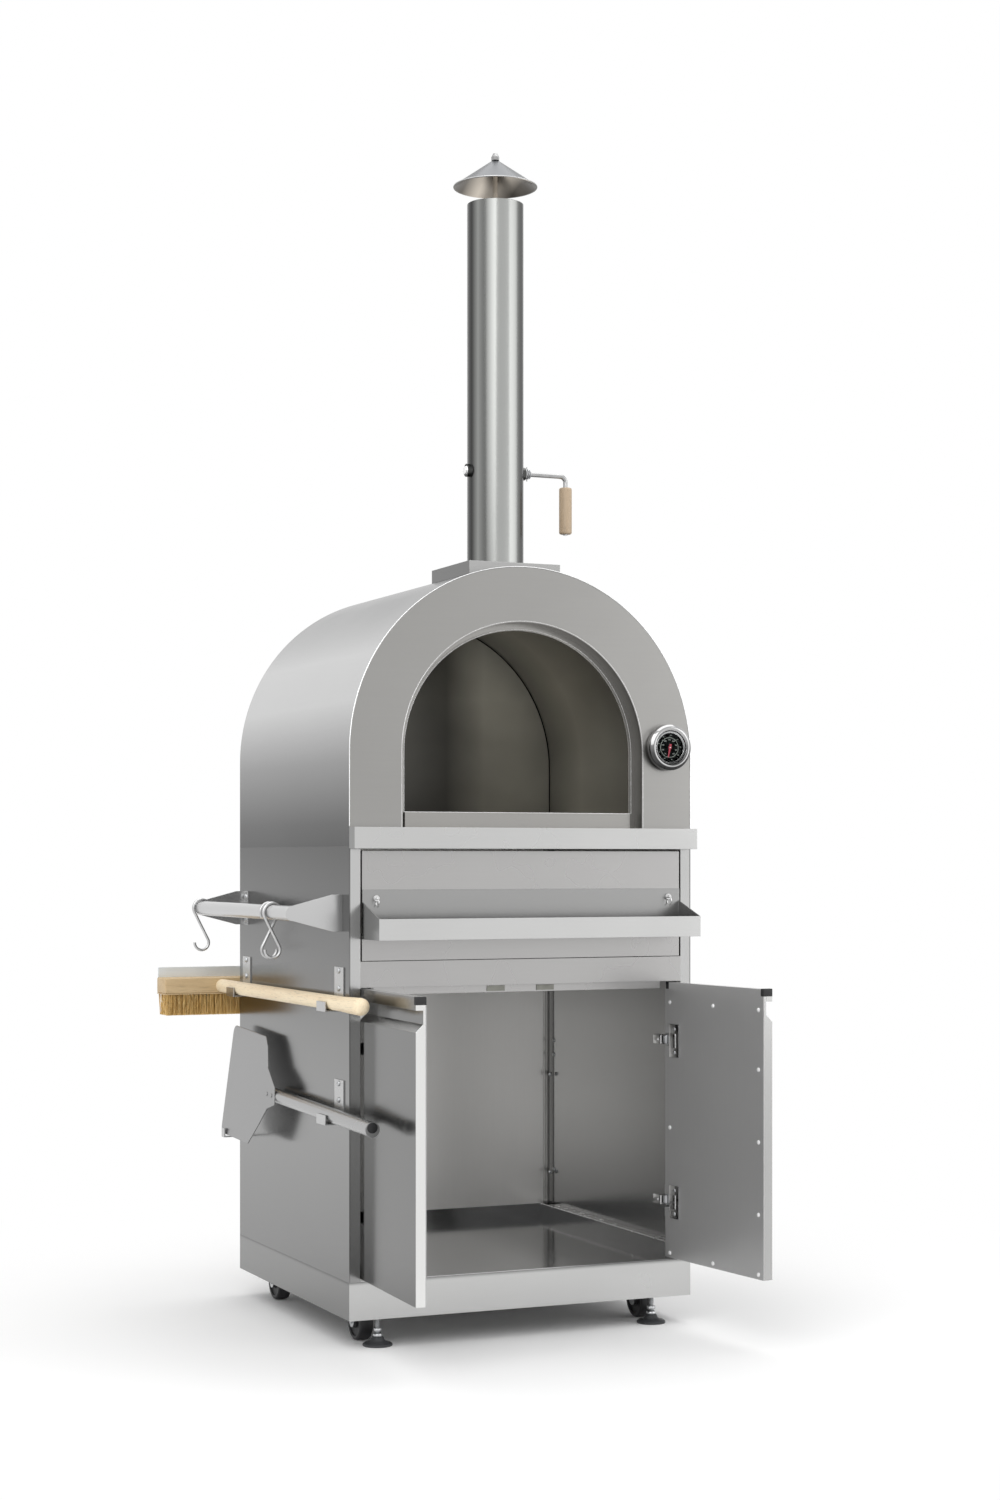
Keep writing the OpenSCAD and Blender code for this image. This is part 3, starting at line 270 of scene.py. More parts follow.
def two_sided_cap():
    """The rain cap's cone: dark bluish grey outside and warm on the underside, painted shade and light on one
    steel, and palest behind the stem as a painted highlight.
    """
    material, tree, shader = new_material("rain_cap_steel")
    shader.inputs["Metallic"].default_value = 1.0
    coords = node(tree, "ShaderNodeTexCoord")
    split = node(tree, "ShaderNodeSeparateXYZ")
    side = node(tree, "ShaderNodeMapRange", {"From Min": -0.3, "From Max": 0.3})
    tree.links.new(coords.outputs["Normal"], split.inputs["Vector"])
    tree.links.new(split.outputs["Z"], side.inputs["Value"])
    tone = object_noise(tree, 12)
    below = ramp(tree, tone, [(0.3, (0.66, 0.60, 0.52, 1)), (0.7, (0.86, 0.78, 0.68, 1))])
    below = times(tree, below, tone_along(tree, "x", CAP_PAINTED_LIGHT))
    above = ramp(tree, tone, [(0.3, (0.058, 0.062, 0.068, 1)), (0.7, (0.088, 0.092, 0.099, 1))])
    tree.links.new(masked(tree, side.outputs["Result"], below, above), shader.inputs["Base Color"])
    tree.links.new(to_range(tree, tone, 0.26, 0.36), shader.inputs["Roughness"])
    bump(tree, shader, tone, 0.03, 0.2 * MM, 0.6 * MM)
    return material


# Painted shade and light down the flank of the thermometer's case, darkest low down, by height above its
# middle
FLANK_PAINTED_SHADE = [(-39, 0.06), (-10, 0.2), (22, 0.95), (39, 0.8)]


def bezel_metal():
    """The thermometer's polished case: full tone on its flat ring, and painted shade on the lower flank."""
    material, tree, shader = new_material("polished_bezel")
    shader.inputs["Metallic"].default_value = 1.0
    case_lo, case_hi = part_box("thermometer_case")
    middle = (case_lo.z + case_hi.z) / 2 / MM
    flank = tone_along(tree, "z", [(middle + rise, tone) for rise, tone in FLANK_PAINTED_SHADE])
    flat = ramp(tree, tone_by_facing(tree, (0, 1, 0)), [(0.9, grey(0)), (0.99, grey(1))])
    tone = object_noise(tree, 20)
    plain = ramp(tree, tone, [(0.3, grey(0.44)), (0.7, grey(0.54))])
    tree.links.new(times(tree, plain, masked(tree, flat, flank, None)), shader.inputs["Base Color"])
    tree.links.new(to_range(tree, tone, 0.08, 0.16), shader.inputs["Roughness"])
    return material


# Painted light and shade in the cavity: from front to back, and across and up its back wall
DEPTH_PAINTED_LIGHT = [(-262, 0.3), (-100, 0.55), (60, 0.97), (185, 0.42), (194, 0.42), (196, 1)]
WALL_PAINTED_ACROSS = [(-270, 0.3), (0, 0.22), (60, 0.22), (135, 0.85), (241, 0.75)]
WALL_PAINTED_UP = [(868, 0.5), (1010, 0.7), (1090, 1), (1240, 0.9)]


def liner_metal():
    """The cavity's steel: warm olive heat tints and soft streaks, with painted light and shade by facing,
    from front to back, and across and up its back wall.
    """
    material, tree, shader = new_material("liner_painted_shade")
    shader.inputs["Metallic"].default_value = 0.55
    streaks = object_noise(tree, 3.5, (1, 0.5, 1))
    lines = object_noise(tree, 700, (1, 0.02, 1), 2)
    stops = [(0.3, (0.31, 0.305, 0.27, 1)), (0.5, (0.42, 0.41, 0.365, 1)), (0.72, (0.56, 0.55, 0.49, 1))]
    colour = times(tree, ramp(tree, streaks, stops), tone_by_facing(tree, (1.2, 1.9, 1.1)))
    colour = times(tree, colour, tone_along(tree, "y", DEPTH_PAINTED_LIGHT))
    wall = times(tree, tone_along(tree, "x", WALL_PAINTED_ACROSS), tone_along(tree, "z", WALL_PAINTED_UP))
    colour = times(tree, colour, masked(tree, tone_by_facing(tree, (0, 1, 0)), None, wall))
    tree.links.new(colour, shader.inputs["Base Color"])
    tree.links.new(to_range(tree, streaks, 0.26, 0.38), shader.inputs["Roughness"])
    bump(tree, shader, lines, 0.04, 0.1 * MM, 1 * MM)
    return material


GRAIN_STRETCH = {"x": (0.05, 1, 1), "y": (1, 0.05, 1), "z": (1, 1, 0.05)}


def wood(name, light, dark, along, gloss=0.48):
    """Turned or planed wood: long grain along one axis, darker pores and faint rings."""
    material, tree, shader = new_material(name)
    stretch = GRAIN_STRETCH[along]
    grain = object_noise(tree, 170, stretch, 6)
    figure = object_noise(tree, 38, stretch)
    pores = object_noise(tree, 900, stretch, 2)
    blend = node(tree, "ShaderNodeMath", operation="MULTIPLY_ADD")
    blend.inputs[1].default_value = 0.5
    tree.links.new(grain, blend.inputs[0])
    tree.links.new(to_range(tree, figure, 0.05, 0.45), blend.inputs[2])
    base = ramp(tree, blend.outputs[0], [(0.3, dark), (0.55, light), (0.8, dark)])
    pore_mask = ramp(tree, pores, [(0.32, grey(0.55)), (0.42, grey(1))])
    mix = node(tree, "ShaderNodeMix", data_type="RGBA", blend_type="MULTIPLY")
    mix.inputs["Factor"].default_value = 0.6
    tree.links.new(base, mix.inputs["A"])
    tree.links.new(pore_mask, mix.inputs["B"])
    tree.links.new(mix.outputs["Result"], shader.inputs["Base Color"])
    tree.links.new(to_range(tree, grain, gloss - 0.06, gloss + 0.12), shader.inputs["Roughness"])
    bump(tree, shader, grain, 0.12, 0.4 * MM)
    return material


def moulded(name, colour, rough, fine=420, gloss=0.5):
    """Moulded plastic, rubber or paint with a fine grain."""
    material, tree, shader = new_material(name)
    shader.inputs["Specular IOR Level"].default_value = gloss
    speck = object_noise(tree, fine)
    cloud = object_noise(tree, 14)
    low = tuple(c * 0.8 for c in colour[:3]) + (1,)
    high = tuple(min(1, c * 1.25) for c in colour[:3]) + (1,)
    tree.links.new(ramp(tree, cloud, [(0.3, low), (0.7, high)]), shader.inputs["Base Color"])
    tree.links.new(to_range(tree, speck, rough - 0.06, rough + 0.1), shader.inputs["Roughness"])
    bump(tree, shader, speck, 0.15, 0.3 * MM, 0.5 * MM)
    return material


def rough_mineral(name, light, dark):
    """Fired clay or matted wool, rough and grainy."""
    material, tree, shader = new_material(name)
    grains = object_noise(tree, 260, detail=6)
    tree.links.new(ramp(tree, grains, [(0.3, dark), (0.6, light)]), shader.inputs["Base Color"])
    shader.inputs["Roughness"].default_value = 0.9
    bump(tree, shader, grains, 0.5, 1.2 * MM, 1 * MM)
    return material


def clear_glass():
    """The dial's thin glass, with a low index so that it hardly mirrors."""
    material, tree, shader = new_material("dial_glass")
    shader.inputs["Base Color"].default_value = (0.98, 0.99, 0.99, 1)
    shader.inputs["Transmission Weight"].default_value = 1.0
    shader.inputs["IOR"].default_value = 1.02
    smear = object_noise(tree, 40)
    tree.links.new(to_range(tree, smear, 0.0, 0.05), shader.inputs["Roughness"])
    return material


def bristle_brass():
    """Crimped brass wire, each wire a little lighter or darker than the next."""
    material, tree, shader = new_material("bristle_brass")
    shader.inputs["Metallic"].default_value = 0.4
    tone = object_noise(tree, 260, (1, 1, 0.1), 3)
    stops = [(0.25, (0.42, 0.25, 0.07, 1)), (0.5, (0.70, 0.47, 0.17, 1)), (0.8, (0.92, 0.72, 0.38, 1))]
    tree.links.new(ramp(tree, tone, stops), shader.inputs["Base Color"])
    tree.links.new(to_range(tree, tone, 0.3, 0.5), shader.inputs["Roughness"])
    return material


# Painted light and shade on the sheets, standing in for the room's light, shadows and reflections round them:
# (millimetres, share of the tone)

flue_lo, flue_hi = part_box("chimney_pipe")
PIPE_AXIS = (flue_lo + flue_hi) / 2
# Painted reflections round the pipe: a narrow highlight, a band of shade, a broad highlight, dark sides and
# softer bands behind, as shares of a turn that starts on its left and runs by the front
PIPE_PAINTED_BANDS = [
    (0.0, 0.07), (0.03, 0.1), (0.08, 0.65), (0.13, 0.22), (0.2, 0.8), (0.25, 0.9), (0.3, 0.65), (0.38, 0.04),
    (0.43, 0.04), (0.52, 0.4), (0.62, 0.7), (0.74, 0.35), (0.86, 0.6), (0.95, 0.1), (1.0, 0.07),
]
# Painted light on the corner posts: bright strips and dark strips of shade across their faces, mirrored for
# both sides
POST_PAINTED_LIGHT = mirrored([(296, 0.3), (298, 0.95), (301, 0.55), (303, 1), (305, 0.3), (308, 0.2)])
OUTER_FACES = mirrored([(309.3, 0), (309.7, 1)])
# Painted light and shade up the side panels, by height: on their inner faces and on their outer faces
INNER_SIDE_PAINTED_LIGHT = [(110, 0.42), (200, 0.68), (330, 0.9), (500, 0.95), (580, 0.8)]
OUTER_SIDE_PAINTED_LIGHT = [(110, 0.27), (350, 0.39), (480, 0.33), (813, 0.09)]
# Painted shade across the cabinet floor, darker towards the right
FLOOR_PAINTED_SHADE = [(-310, 1), (40, 1), (130, 0.5), (310, 0.42)]
# Painted shade on the outer face of the back panel
BACK_OUT = (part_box("back_panel")[1].y - MID_Y) / MM
BACK_PAINTED_SHADE = [(BACK_OUT - 0.9, 1), (BACK_OUT - 0.7, 1), (BACK_OUT - 0.3, 0.4), (BACK_OUT, 0.4)]
# Painted shade along the top edge of the plinth
PLINTH_PAINTED_SHADE = [(48, 0.96), (105, 1), (109, 0.55)]
# Painted shade on the front shelf, darker towards the back
SHELF_PAINTED_SHADE = [(-366, 1), (-330, 0.85), (-291, 0.72), (-289, 0.55)]
# Painted light and shade on the shell: dark low down, brightest from 1050 to 1130 mm high, dimmer towards the
# right
SHELL_PAINTED_LIGHT_UP = [(813, 0.07), (850, 0.12), (950, 0.45), (1050, 1), (1130, 1), (1230, 0.3)]
SHELL_PAINTED_LIGHT_ACROSS = [(-310, 1), (0, 1), (150, 0.7), (310, 0.6)]

# Finishes

# The oven's stainless sheets are one steel: their differing base tones are partly painted light and shade,
# and the tuples by facing paint light and shade on faces by the way they look
steel_front = brushed_steel("brushed_face", (0.335, 0.33, 0.32), 0.3, "x", (0.75, 1, 0.9))
steel_band = brushed_steel("brushed_band", (0.43, 0.425, 0.42), 0.27, "x", (0.8, 1, 0.8))
steel_pale = brushed_steel("brushed_ledge", (0.54, 0.54, 0.535), 0.27, "x", (0.45, 1, 1))
steel_plinth = brushed_steel("brushed_plinth", (0.54, 0.54, 0.535), 0.25, "x", (0.42, 1, 0.8),
                             [("z", PLINTH_PAINTED_SHADE)])
steel_shelf = brushed_steel("brushed_shelf", (0.58, 0.58, 0.575), 0.25, "x", (0.5, 1, 0.95),
                            [("y", SHELF_PAINTED_SHADE)])
steel_side = brushed_steel("brushed_side", (0.66, 0.66, 0.655), 0.18, "z", painted_sides=(INNER_SIDE_PAINTED_LIGHT, OUTER_SIDE_PAINTED_LIGHT))
steel_shell = brushed_steel("brushed_shell", (0.57, 0.57, 0.57), 0.24, "y",
                            painted_zones=[("z", SHELL_PAINTED_LIGHT_UP), ("x", SHELL_PAINTED_LIGHT_ACROSS)])
steel_collar = brushed_steel("brushed_collar", (0.42, 0.42, 0.415), 0.25, "x", (0.4, 1, 1))
steel_pipe = brushed_steel("brushed_pipe", (0.455, 0.463, 0.45), 0.24, "z",
                           painted_tube_bands=(PIPE_AXIS, PIPE_PAINTED_BANDS))
steel_cap = two_sided_cap()
steel_seat = brushed_steel("brushed_seat", (0.48, 0.47, 0.45), 0.24, "x", (1.2, 0.72, 1.2))
steel_post = brushed_steel("brushed_post", (0.85, 0.84, 0.82), 0.16, "z", painted_zones=[("x", POST_PAINTED_LIGHT)],
                           metallic=0.7)
# Near-black for the line of painted shade in the cavity's crease
crease_shade_line = plain_metal("crease_shade_line", grey(0.01), grey(0.02), 0.6, 60)
rod_steel = plain_metal("turned_rod", grey(0.36), grey(0.46), 0.2, 60)
# Near-white steel: painted highlights on thin beads along edges, and the dome nut
steel_edge = plain_metal("bright_edge", grey(0.86), grey(0.95), 0.25, 60)
door_left = brushed_steel("brushed_left_door", (0.78, 0.78, 0.77), 0.17, "z", (0.19, 1, 0.9))
door_right = brushed_steel("brushed_right_door", (0.78, 0.78, 0.77), 0.2, "z", (0.2, 0.6, 0.9), metallic=0.7)
steel_panel = brushed_steel("brushed_panel", (0.50, 0.50, 0.50), 0.36, "z", metallic=0.6)
steel_back = brushed_steel("brushed_back", (0.82, 0.81, 0.79), 0.3, "z", painted_zones=[("y", BACK_PAINTED_SHADE)],
                           metallic=0.65)
steel_floor = brushed_steel("polished_floor", (0.48, 0.48, 0.48), 0.10, "x", (1.6, 1, 1),
                            [("x", FLOOR_PAINTED_SHADE)], metallic=0.85, edge=0.2 * MM)
steel_tube = brushed_steel("brushed_tube", (0.55, 0.55, 0.55), 0.24, "y")
steel_handle = brushed_steel("brushed_handle", (0.40, 0.40, 0.40), 0.26, "y")
steel_tool = brushed_steel("brushed_tool", (0.30, 0.30, 0.30), 0.26, "z")
steel_clip = brushed_steel("brushed_clip", (0.50, 0.50, 0.50), 0.26, "z")
steel_scraper = brushed_steel("bright_scraper", (0.88, 0.93, 0.96), 0.3, "x", metallic=0.5)
steel_mirror = plain_metal("polished_steel", grey(0.62), grey(0.76), 0.12, 20)
steel_bezel = bezel_metal()
steel_nut = plain_metal("bright_nut", grey(0.30), grey(0.42), 0.25, 60)
steel_stem = plain_metal("warm_stem", (0.52, 0.46, 0.38, 1), (0.62, 0.55, 0.46, 1), 0.4, 60, 0.3)
steel_wire = plain_metal("bright_wire", grey(0.50), grey(0.62), 0.34, 40)
steel_zinc = plain_metal("zinc_plate", (0.44, 0.45, 0.46, 1), (0.60, 0.61, 0.62, 1), 0.28, 60)
magnet_steel = plain_metal("magnet_steel", (0.20, 0.20, 0.18, 1), (0.28, 0.28, 0.25, 1), 0.4, 60)
shaded_liner = liner_metal()
beech_y = wood("beech_handle", (0.94, 0.80, 0.57, 1), (0.80, 0.62, 0.40, 1), "y")
beech_x = wood("beech_block", (0.62, 0.46, 0.26, 1), (0.48, 0.33, 0.17, 1), "x")
beech_z = wood("beech_grip", (0.47, 0.36, 0.245, 1), (0.40, 0.29, 0.185, 1), "z")
black = moulded("black_plastic", (0.012, 0.012, 0.013, 1), 0.6)
pad_grey = moulded("pad_rubber", (0.035, 0.037, 0.04, 1), 0.55)
tyre = moulded("wheel_rubber", (0.022, 0.022, 0.024, 1), 0.5, 300)
dial_black = moulded("dial_paint", (0.004, 0.005, 0.005, 1), 0.8, gloss=0.08)
dial_white = moulded("dial_marks", (0.42, 0.46, 0.42, 1), 0.6)
needle_red = moulded("needle_paint", (0.30, 0.02, 0.04, 1), 0.4)
clay = rough_mineral("clay_stone", (0.60, 0.50, 0.38, 1), (0.42, 0.34, 0.25, 1))
blanket = rough_mineral("wool_blanket", (0.80, 0.78, 0.72, 1), (0.62, 0.60, 0.54, 1))
brass = bristle_brass()
glass = clear_glass()
rivet_white = plain_metal("rivet_heads", grey(0.82), grey(0.95), 0.35, 200, 0.3)

NODE_MATERIALS = {
    steel_front: ["oven_face"],
    steel_seat: ["door_seat_frame"],
    steel_band: ["fascia_panel", "door_rail"],
    steel_pale: ["front_ledge"],
    steel_plinth: ["plinth"],
    steel_shelf: ["front_shelf"],
    steel_side: ["left_side_panel", "right_side_panel"],
    steel_shell: ["oven_shell"],
    steel_collar: ["chimney_collar"],
    steel_pipe: ["chimney_pipe"],
    steel_cap: ["rain_cap"],
    door_left: ["left_door_pan", "left_door_channel"],
    door_right: ["right_door_pan", "right_door_channel"],
    steel_panel: ["left_door_liner", "right_door_liner"],
    steel_back: ["back_panel", "oven_back", "top_deck"],
    steel_post: ["corner_posts"],
    rod_steel: ["damper_rod"],
    steel_floor: ["floor_panel"],
    steel_tube: ["side_rail"],
    steel_handle: ["peel_handle"],
    steel_tool: ["peel_blade"],
    steel_clip: ["tool_clips"],
    steel_scraper: ["brush_scraper"],
    steel_mirror: ["thermometer_case", "shelf_studs"],
    steel_nut: ["cap_nut"],
    steel_stem: ["cap_bracket"],
    steel_wire: ["hook_rear", "hook_mid", "hook_front"],
    steel_zinc: ["side_screws", "hinge_arms", "caster_plates", "foot_nuts", "front_fork_left",
                 "front_fork_right"],
    magnet_steel: ["magnet_catches"],
    shaded_liner: ["oven_liner"],
    beech_y: ["brush_wood"],
    beech_z: ["damper_grip"],
    pad_grey: ["foot_left", "foot_right"],
    tyre: ["front_wheel_left", "front_wheel_right", "rear_wheel_left", "rear_wheel_right"],
    dial_black: ["thermometer_dial"],
    needle_red: ["needle"],
    clay: ["floor_stones"],
    blanket: ["insulation"],
    brass: ["brush_bristles"],
    glass: ["thermometer_glass"],
}


def dress_nodes():
    """Gives each solid its finish."""
    for material, names in NODE_MATERIALS.items():
        for name in names:
            slots = frame["nodes"][name].data.materials
            slots.clear()
            slots.append(material)


# Mesh helpers


def link_mesh(name, mesh, material, body, smooth=True):
    """Finishes a piece: shading, material and the body it rides on."""
    piece = bpy.data.objects.new(name, mesh)
    scene.collection.objects.link(piece)
    if not mesh.materials:
        mesh.materials.append(material)
    if smooth:
        mesh.shade_smooth()
        mesh.set_sharp_from_angle(angle=math.radians(35))
    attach(piece, body)
    return piece


def mesh_from(name, build):
    """A mesh that build(shape) fills, welded and with its faces turned outwards."""
    shape = bmesh.new()
    build(shape)
    bmesh.ops.remove_doubles(shape, verts=shape.verts, dist=1e-6)
    bmesh.ops.recalc_face_normals(shape, faces=shape.faces)
    mesh = bpy.data.meshes.new(name)
    shape.to_mesh(mesh)
    shape.free()
    return mesh


def lathe(shape, outline, matrix, turns=48):
    """Spins an outline of (radius, height) in millimetres about the local z axis of matrix."""
    rings = []
    for radius, height in outline:
        if radius < 1e-6:
            rings.append([shape.verts.new(matrix @ Vector((0, 0, height * MM)))])
            continue
        ring = []
        for i in range(turns):
            angle = 2 * math.pi * i / turns
            local = Vector((radius * MM * math.cos(angle), radius * MM * math.sin(angle), height * MM))
            ring.append(shape.verts.new(matrix @ local))
        rings.append(ring)
    for low, high in zip(rings, rings[1:]):
        for i in range(turns):
            j = (i + 1) % turns
            if len(low) == 1 and len(high) == 1:
                continue
            if len(low) == 1:
                shape.faces.new((low[0], high[j], high[i]))
            elif len(high) == 1:
                shape.faces.new((low[i], low[j], high[0]))
            else:
                shape.faces.new((low[i], low[j], high[j], high[i]))


def rounded_box(shape, low, high, radius, segments=3):
    """A box between two corners with rounded edges."""
    size = high - low
    place = Matrix.Translation((low + high) / 2) @ Matrix.Diagonal(size).to_4x4()
    made = bmesh.ops.create_cube(shape, size=1, matrix=place)
    edges = list({e for v in made["verts"] for e in v.link_edges})
    bmesh.ops.bevel(shape, geom=edges, offset=radius, segments=segments, profile=0.5, affect="EDGES")


def towards(axis):
    """A turn that brings local +z onto an axis."""
    return Vector(axis).to_track_quat("Z", "Y").to_matrix().to_4x4()


def place(point, axis):
    """Sets local z = 0 on a point, with local +z along an axis."""
    return Matrix.Translation(point) @ towards(axis)


# Geometry Nodes: one prototype repeated on a list of places


def scatter_tree():
    """Sets a prototype on each point, turned by the point's own angles."""
    tree = bpy.data.node_groups.new("set_on_points", "GeometryNodeTree")
    face = tree.interface
    face.new_socket("Points", in_out="INPUT", socket_type="NodeSocketGeometry")
    face.new_socket("Prototype", in_out="INPUT", socket_type="NodeSocketObject")
    face.new_socket("Size", in_out="INPUT", socket_type="NodeSocketFloat")
    face.new_socket("Finish", in_out="INPUT", socket_type="NodeSocketMaterial")
    face.new_socket("Geometry", in_out="OUTPUT", socket_type="NodeSocketGeometry")
    start = tree.nodes.new("NodeGroupInput")
    end = tree.nodes.new("NodeGroupOutput")
    info = tree.nodes.new("GeometryNodeObjectInfo")
    info.transform_space = "ORIGINAL"
    turn = tree.nodes.new("GeometryNodeInputNamedAttribute")
    turn.data_type = "FLOAT_VECTOR"
    turn.inputs["Name"].default_value = "turn"
    setter = tree.nodes.new("GeometryNodeInstanceOnPoints")
    real = tree.nodes.new("GeometryNodeRealizeInstances")
    finish = tree.nodes.new("GeometryNodeSetMaterial")
    link = tree.links.new
    link(start.outputs["Points"], setter.inputs["Points"])
    link(start.outputs["Prototype"], info.inputs["Object"])
    link(info.outputs["Geometry"], setter.inputs["Instance"])
    link(turn.outputs["Attribute"], setter.inputs["Rotation"])
    link(start.outputs["Size"], setter.inputs["Scale"])
    link(setter.outputs["Instances"], real.inputs["Geometry"])
    link(real.outputs["Geometry"], finish.inputs["Geometry"])
    link(start.outputs["Finish"], finish.inputs["Material"])
    link(finish.outputs["Geometry"], end.inputs["Geometry"])
    return tree


SCATTER = scatter_tree()


def socket_id(tree, name):
    """The key that a modifier knows a named input by."""
    return next(s.identifier for s in tree.interface.items_tree if s.name == name and s.in_out == "INPUT")


def bake(carrier, name):
    """Turns a carrier's modifier result into a plain mesh and removes the carrier."""
    depsgraph = bpy.context.evaluated_depsgraph_get()
    mesh = bpy.data.meshes.new_from_object(carrier.evaluated_get(depsgraph))
    mesh.name = name
    bpy.data.objects.remove(carrier)
    return mesh


def scatter(name, prototype_mesh, places, material, body, size=1.0):
    """Sets a small prototype on each (point, axis, spin) with the tree above."""
    points = bpy.data.meshes.new(name + "_points")
    points.from_pydata([p for p, _, _ in places], [], [])
    turns = points.attributes.new("turn", "FLOAT_VECTOR", "POINT")
    for item, (_, axis, spin) in zip(turns.data, places):
        turned = towards(axis).to_quaternion() @ Matrix.Rotation(spin, 3, "Z").to_quaternion()
        item.vector = turned.to_euler()
    prototype = bpy.data.objects.new(name + "_prototype", prototype_mesh)
    carrier = bpy.data.objects.new(name + "_carrier", points)
    for made in (prototype, carrier):
        scene.collection.objects.link(made)
    modifier = carrier.modifiers.new("set", "NODES")
    modifier.node_group = SCATTER
    modifier[socket_id(SCATTER, "Prototype")] = prototype
    modifier[socket_id(SCATTER, "Size")] = size
    modifier[socket_id(SCATTER, "Finish")] = material
    mesh = bake(carrier, name)
    bpy.data.objects.remove(prototype)
    return link_mesh(name, mesh, material, body)


# Fasteners

# The cross recess of a pan head: half its length, its width and its depth
CROSS_HALF, CROSS_WIDE, CROSS_DEEP = 2.2, 0.9, 0.45


def screw_head_mesh(radius=4.6, height=2.4):
    """A pan head with a cross recess, its seat at z = 0."""

    def build(shape):
        outline = [(0, height - 1.4), (1.0, height - 1.4), (1.1, height), (radius * 0.62, height - 0.1)]
        outline += [(radius * 0.9, height * 0.68), (radius, height * 0.3), (radius, 0), (0, 0)]
        lathe(shape, outline, Matrix.Identity(4), 24)
        for turn in (0, math.pi / 2):
            low = Vector((-CROSS_HALF, -CROSS_WIDE / 2, height - CROSS_DEEP)) * MM
            high = Vector((CROSS_HALF, CROSS_WIDE / 2, height + 0.06)) * MM
            cross = bmesh.new()
            rounded_box(cross, low, high, 0.1 * MM, 1)
            bmesh.ops.rotate(cross, verts=cross.verts, cent=(0, 0, 0), matrix=Matrix.Rotation(turn, 3, "Z"))
            spare = bpy.data.meshes.new("cross")
            cross.to_mesh(spare)
            cross.free()
            shape.from_mesh(spare)
            bpy.data.meshes.remove(spare)

    return mesh_from("screw_head", build)


def solid_boxes(name):
    """The box of each loose solid of a node, as its low and high corners."""
    shape = bmesh.new()
    shape.from_mesh(frame["nodes"][name].data)
    bmesh.ops.remove_doubles(shape, verts=shape.verts, dist=1e-6)
    seen, boxes = set(), []
    for start in shape.verts:
        if start.index in seen:
            continue
        stack, group = [start], []
        seen.add(start.index)
        while stack:
            vert = stack.pop()
            group.append(vert.co.copy())
            for edge in vert.link_edges:
                other = edge.other_vert(vert)
                if other.index not in seen:
                    seen.add(other.index)
                    stack.append(other)
        low = Vector([min(c[i] for c in group) for i in range(3)])
        high = Vector([max(c[i] for c in group) for i in range(3)])
        boxes.append((low, high))
    shape.free()
    return boxes


def side_screws():
    """Pan heads on the left side panel, each stopped at its own turn."""
    places = []
    for i, (low, high) in enumerate(solid_boxes("side_screws")):
        middle = (low + high) / 2
        places.append((Vector((high.x, middle.y, middle.z)), (-1, 0, 0), 0.4 + 0.7 * i))
    piece = scatter("side_screw_heads", screw_head_mesh(), places, steel_zinc, "oven")
    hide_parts("side_screws")


make_camera()
dress_nodes()
side_screws()


# Wheels: a rubber tread on a moulded hub


def wheel(name):
    """A tread with hollow flanks, set on the solid wheel's own box."""
    low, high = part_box(name)
    middle = (low + high) / 2
    radius = (high.z - low.z) / 2 / MM
    half = (high.x - low.x) / 2 / MM
    bore = 4.1
    hub = 11.0

    def build(shape):
        rim = radius - 8
        outline = [
            (bore, -half), (hub - 1, -half), (hub, -half + 1), (hub, -half + 4), (rim - 2, -half + 4.6),
            (rim, -half + 3.6), (rim + 1, -half + 0.8), (radius - 3.2, -half + 0.4),
            (radius - 1, -half + 1.8), (radius - 0.1, -half + 4.5), (radius, 0),
        ]
        outline += [(r, -h) for r, h in reversed(outline[:-1])]
        outline.append(outline[0])
        lathe(shape, outline, place(middle, (1, 0, 0)), 56)

    piece = link_mesh(name + "_tread", mesh_from(name + "_tread", build), tyre, name)
    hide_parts(name)


for wheel_name in ("front_wheel_left", "front_wheel_right", "rear_wheel_left", "rear_wheel_right"):
    wheel(wheel_name)


# Brush: bevelled block, turned handle, and wire bristles


def brush_wood():
    """The head block, and the handle that swells towards its end."""
    wood_lo, wood_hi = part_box("brush_wood")
    scraper_lo, scraper_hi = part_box("brush_scraper")
    field_lo, field_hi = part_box("brush_bristles")
    axis_x = (scraper_lo.x + scraper_hi.x) / 2
    axis_z = field_hi.z + (scraper_lo.z - field_hi.z) / 2 - 1 * MM
    radius = 12.0
    length = (field_lo.y - wood_lo.y) / MM
    start = Vector((axis_x, wood_lo.y, axis_z))

    def block(shape):
        low = Vector((wood_lo.x, field_lo.y, field_hi.z))
        high = Vector((wood_hi.x, wood_hi.y, scraper_lo.z))
        rounded_box(shape, low, high, 2.5 * MM, 3)

    def handle(shape):
        end = 14.0
        outline = [(0, 0)]
        outline += [(end * math.sin(a), end - end * math.cos(a)) for a in (0.35, 0.7, 1.05, 1.35)]
        outline += [(end, 16), (13.4, 50), (12.5, 80), (radius, 102), (radius, length + 4), (0, length + 4)]
        lathe(shape, outline, place(start, (0, 1, 0)), 40)

    head = link_mesh("brush_block", mesh_from("brush_block", block), beech_x, "brush")
    grip = link_mesh("brush_handle", mesh_from("brush_handle", handle), beech_y, "brush")
    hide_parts("brush_wood")
    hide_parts("brush_wood")


